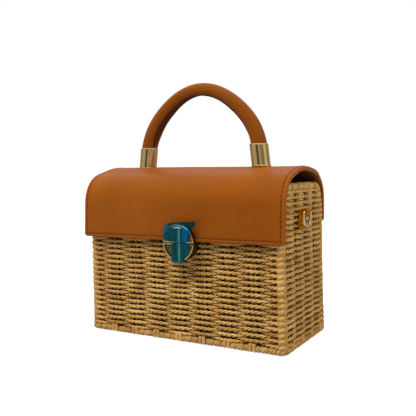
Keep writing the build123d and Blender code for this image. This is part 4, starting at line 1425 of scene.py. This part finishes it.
film_patch("film_over_flap_plate",
           [(-0.93, 0.1), (-0.95, 0.25), (-0.98, 0.45), (-1.07, 0.6), (-0.89, 0.99), (-0.56, 1.11)],
           [(0.54, 0.006), (0.63, 0.22), (0.75, 0.53), (0.89, 0.72), (1.18, 1.04), (1.22, 1.25)],
           "film_upper", "flap_body", upper_stand_off)
film_patch("film_over_base_plate",
           [(-0.4, -0.006), (-0.4, -0.25), (-0.4, -0.6), (-0.45, -0.88), (-0.48, -1.13)],
           [(0.75, -0.006), (0.72, -0.23), (0.61, -0.52), (0.43, -0.84), (0.34, -1.11)],
           "film_lower", "bag_body", over_rim)

# %% [markdown]
# ## Lining
# A dark cotton bag is sewn inside the basket. Seen through the weave it makes the gaps look black,
# and with the flap open it is the inside of the bag. It hangs a little loose, so its walls are not flat.

# %% Lining cloth
cloth, cloth_graph, cloth_sockets = plain_material("lining_cloth", Roughness=0.95, Specular_IOR_Level=0.1)
cloth_where = cloth_graph.where()
cloth_tone = cloth_graph.noise(cloth_where, 60, 4, 0.6)
cloth_threads = {"Vector": cloth_where, "Scale": 700.0}
threads = cloth_graph.add("ShaderNodeTexWave", {"wave_type": "BANDS"}, cloth_threads)
cloth_graph.put(cloth_sockets["Base Color"], cloth_graph.mix(cloth_tone, rgba(30, 20, 12), rgba(52, 36, 22)))
cloth_graph.roughen(cloth_sockets, threads, 0.4, 0.1 * mm)
print("made", cloth.name)

# %% Lining
lining_half_x, lining_half_y, lining_corner = 93.2 * mm, 40.7 * mm, 1.2 * mm
lining_hem, lining_floor = wall_top - 2 * mm, 5.2 * mm
lining_step, lining_levels, lining_slack, lining_thickness = 5 * mm, 20, 0.35 * mm, 0.5 * mm
floor_shares = (0.85, 0.6, 0.3)


def make_lining():
    """A box without a lid: rings from the hem down to the floor, then inwards to the middle."""
    outline = rounded_rectangle(lining_half_x, lining_half_y, lining_corner)
    fine = []
    for a, b in zip(outline, outline[1:] + outline[:1]):
        count = max(1, round(math.dist(a, b) / lining_step))
        fine += [(a[0] + (b[0] - a[0]) * i / count, a[1] + (b[1] - a[1]) * i / count) for i in range(count)]
    points = []
    for i in range(lining_levels + 1):
        z = lining_hem + (lining_floor - lining_hem) * i / lining_levels
        slack = lining_slack * math.sin(math.pi * i / lining_levels)
        for x, y in fine:
            pull = slack * (1 + math.sin(60 * x + 90 * y + 70 * z))
            points.append((x * (1 - pull / lining_half_x), y * (1 - pull / lining_half_y), z))
    for share in floor_shares:
        points += [(x * share, y * share, lining_floor) for x, y in fine]
    rings = lining_levels + 1 + len(floor_shares)
    _, middle = end_faces(rings, len(fine))
    return add_mesh("cloth_lining", points, ring_faces(rings, len(fine)) + [middle], cloth)


lining = make_lining()
cloth_weight = lining.modifiers.new("cloth thickness", "SOLIDIFY")
cloth_weight.thickness, cloth_weight.offset = lining_thickness, 0
lining_mesh = as_mesh(lining)
lining.modifiers.clear()
lining.data = lining_mesh
face_outwards(lining)
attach(lining, "bag_body")
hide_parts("lining")
lining_width, lining_depth, lining_height = 2 * lining_half_x, 2 * lining_half_y, lining_hem - lining_floor
lining_area = 2 * (lining_width + lining_depth) * lining_height + lining_width * lining_depth
print("lining faces", len(lining.data.polygons))

# %% [markdown]
# ## Finish
# The dressed bag's box is measured and kept beside the CAD box. The dressed bag may not outgrow its
# CAD box.

# %% Boxes
visual_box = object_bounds()
boxes = {"cad": cad_box, "visual": visual_box}
boxes = {name: [[float(c) for c in corner] for corner in box] for name, box in boxes.items()}
print("dressed box in mm:", [[round(c / mm, 1) for c in p] for p in boxes["visual"]])
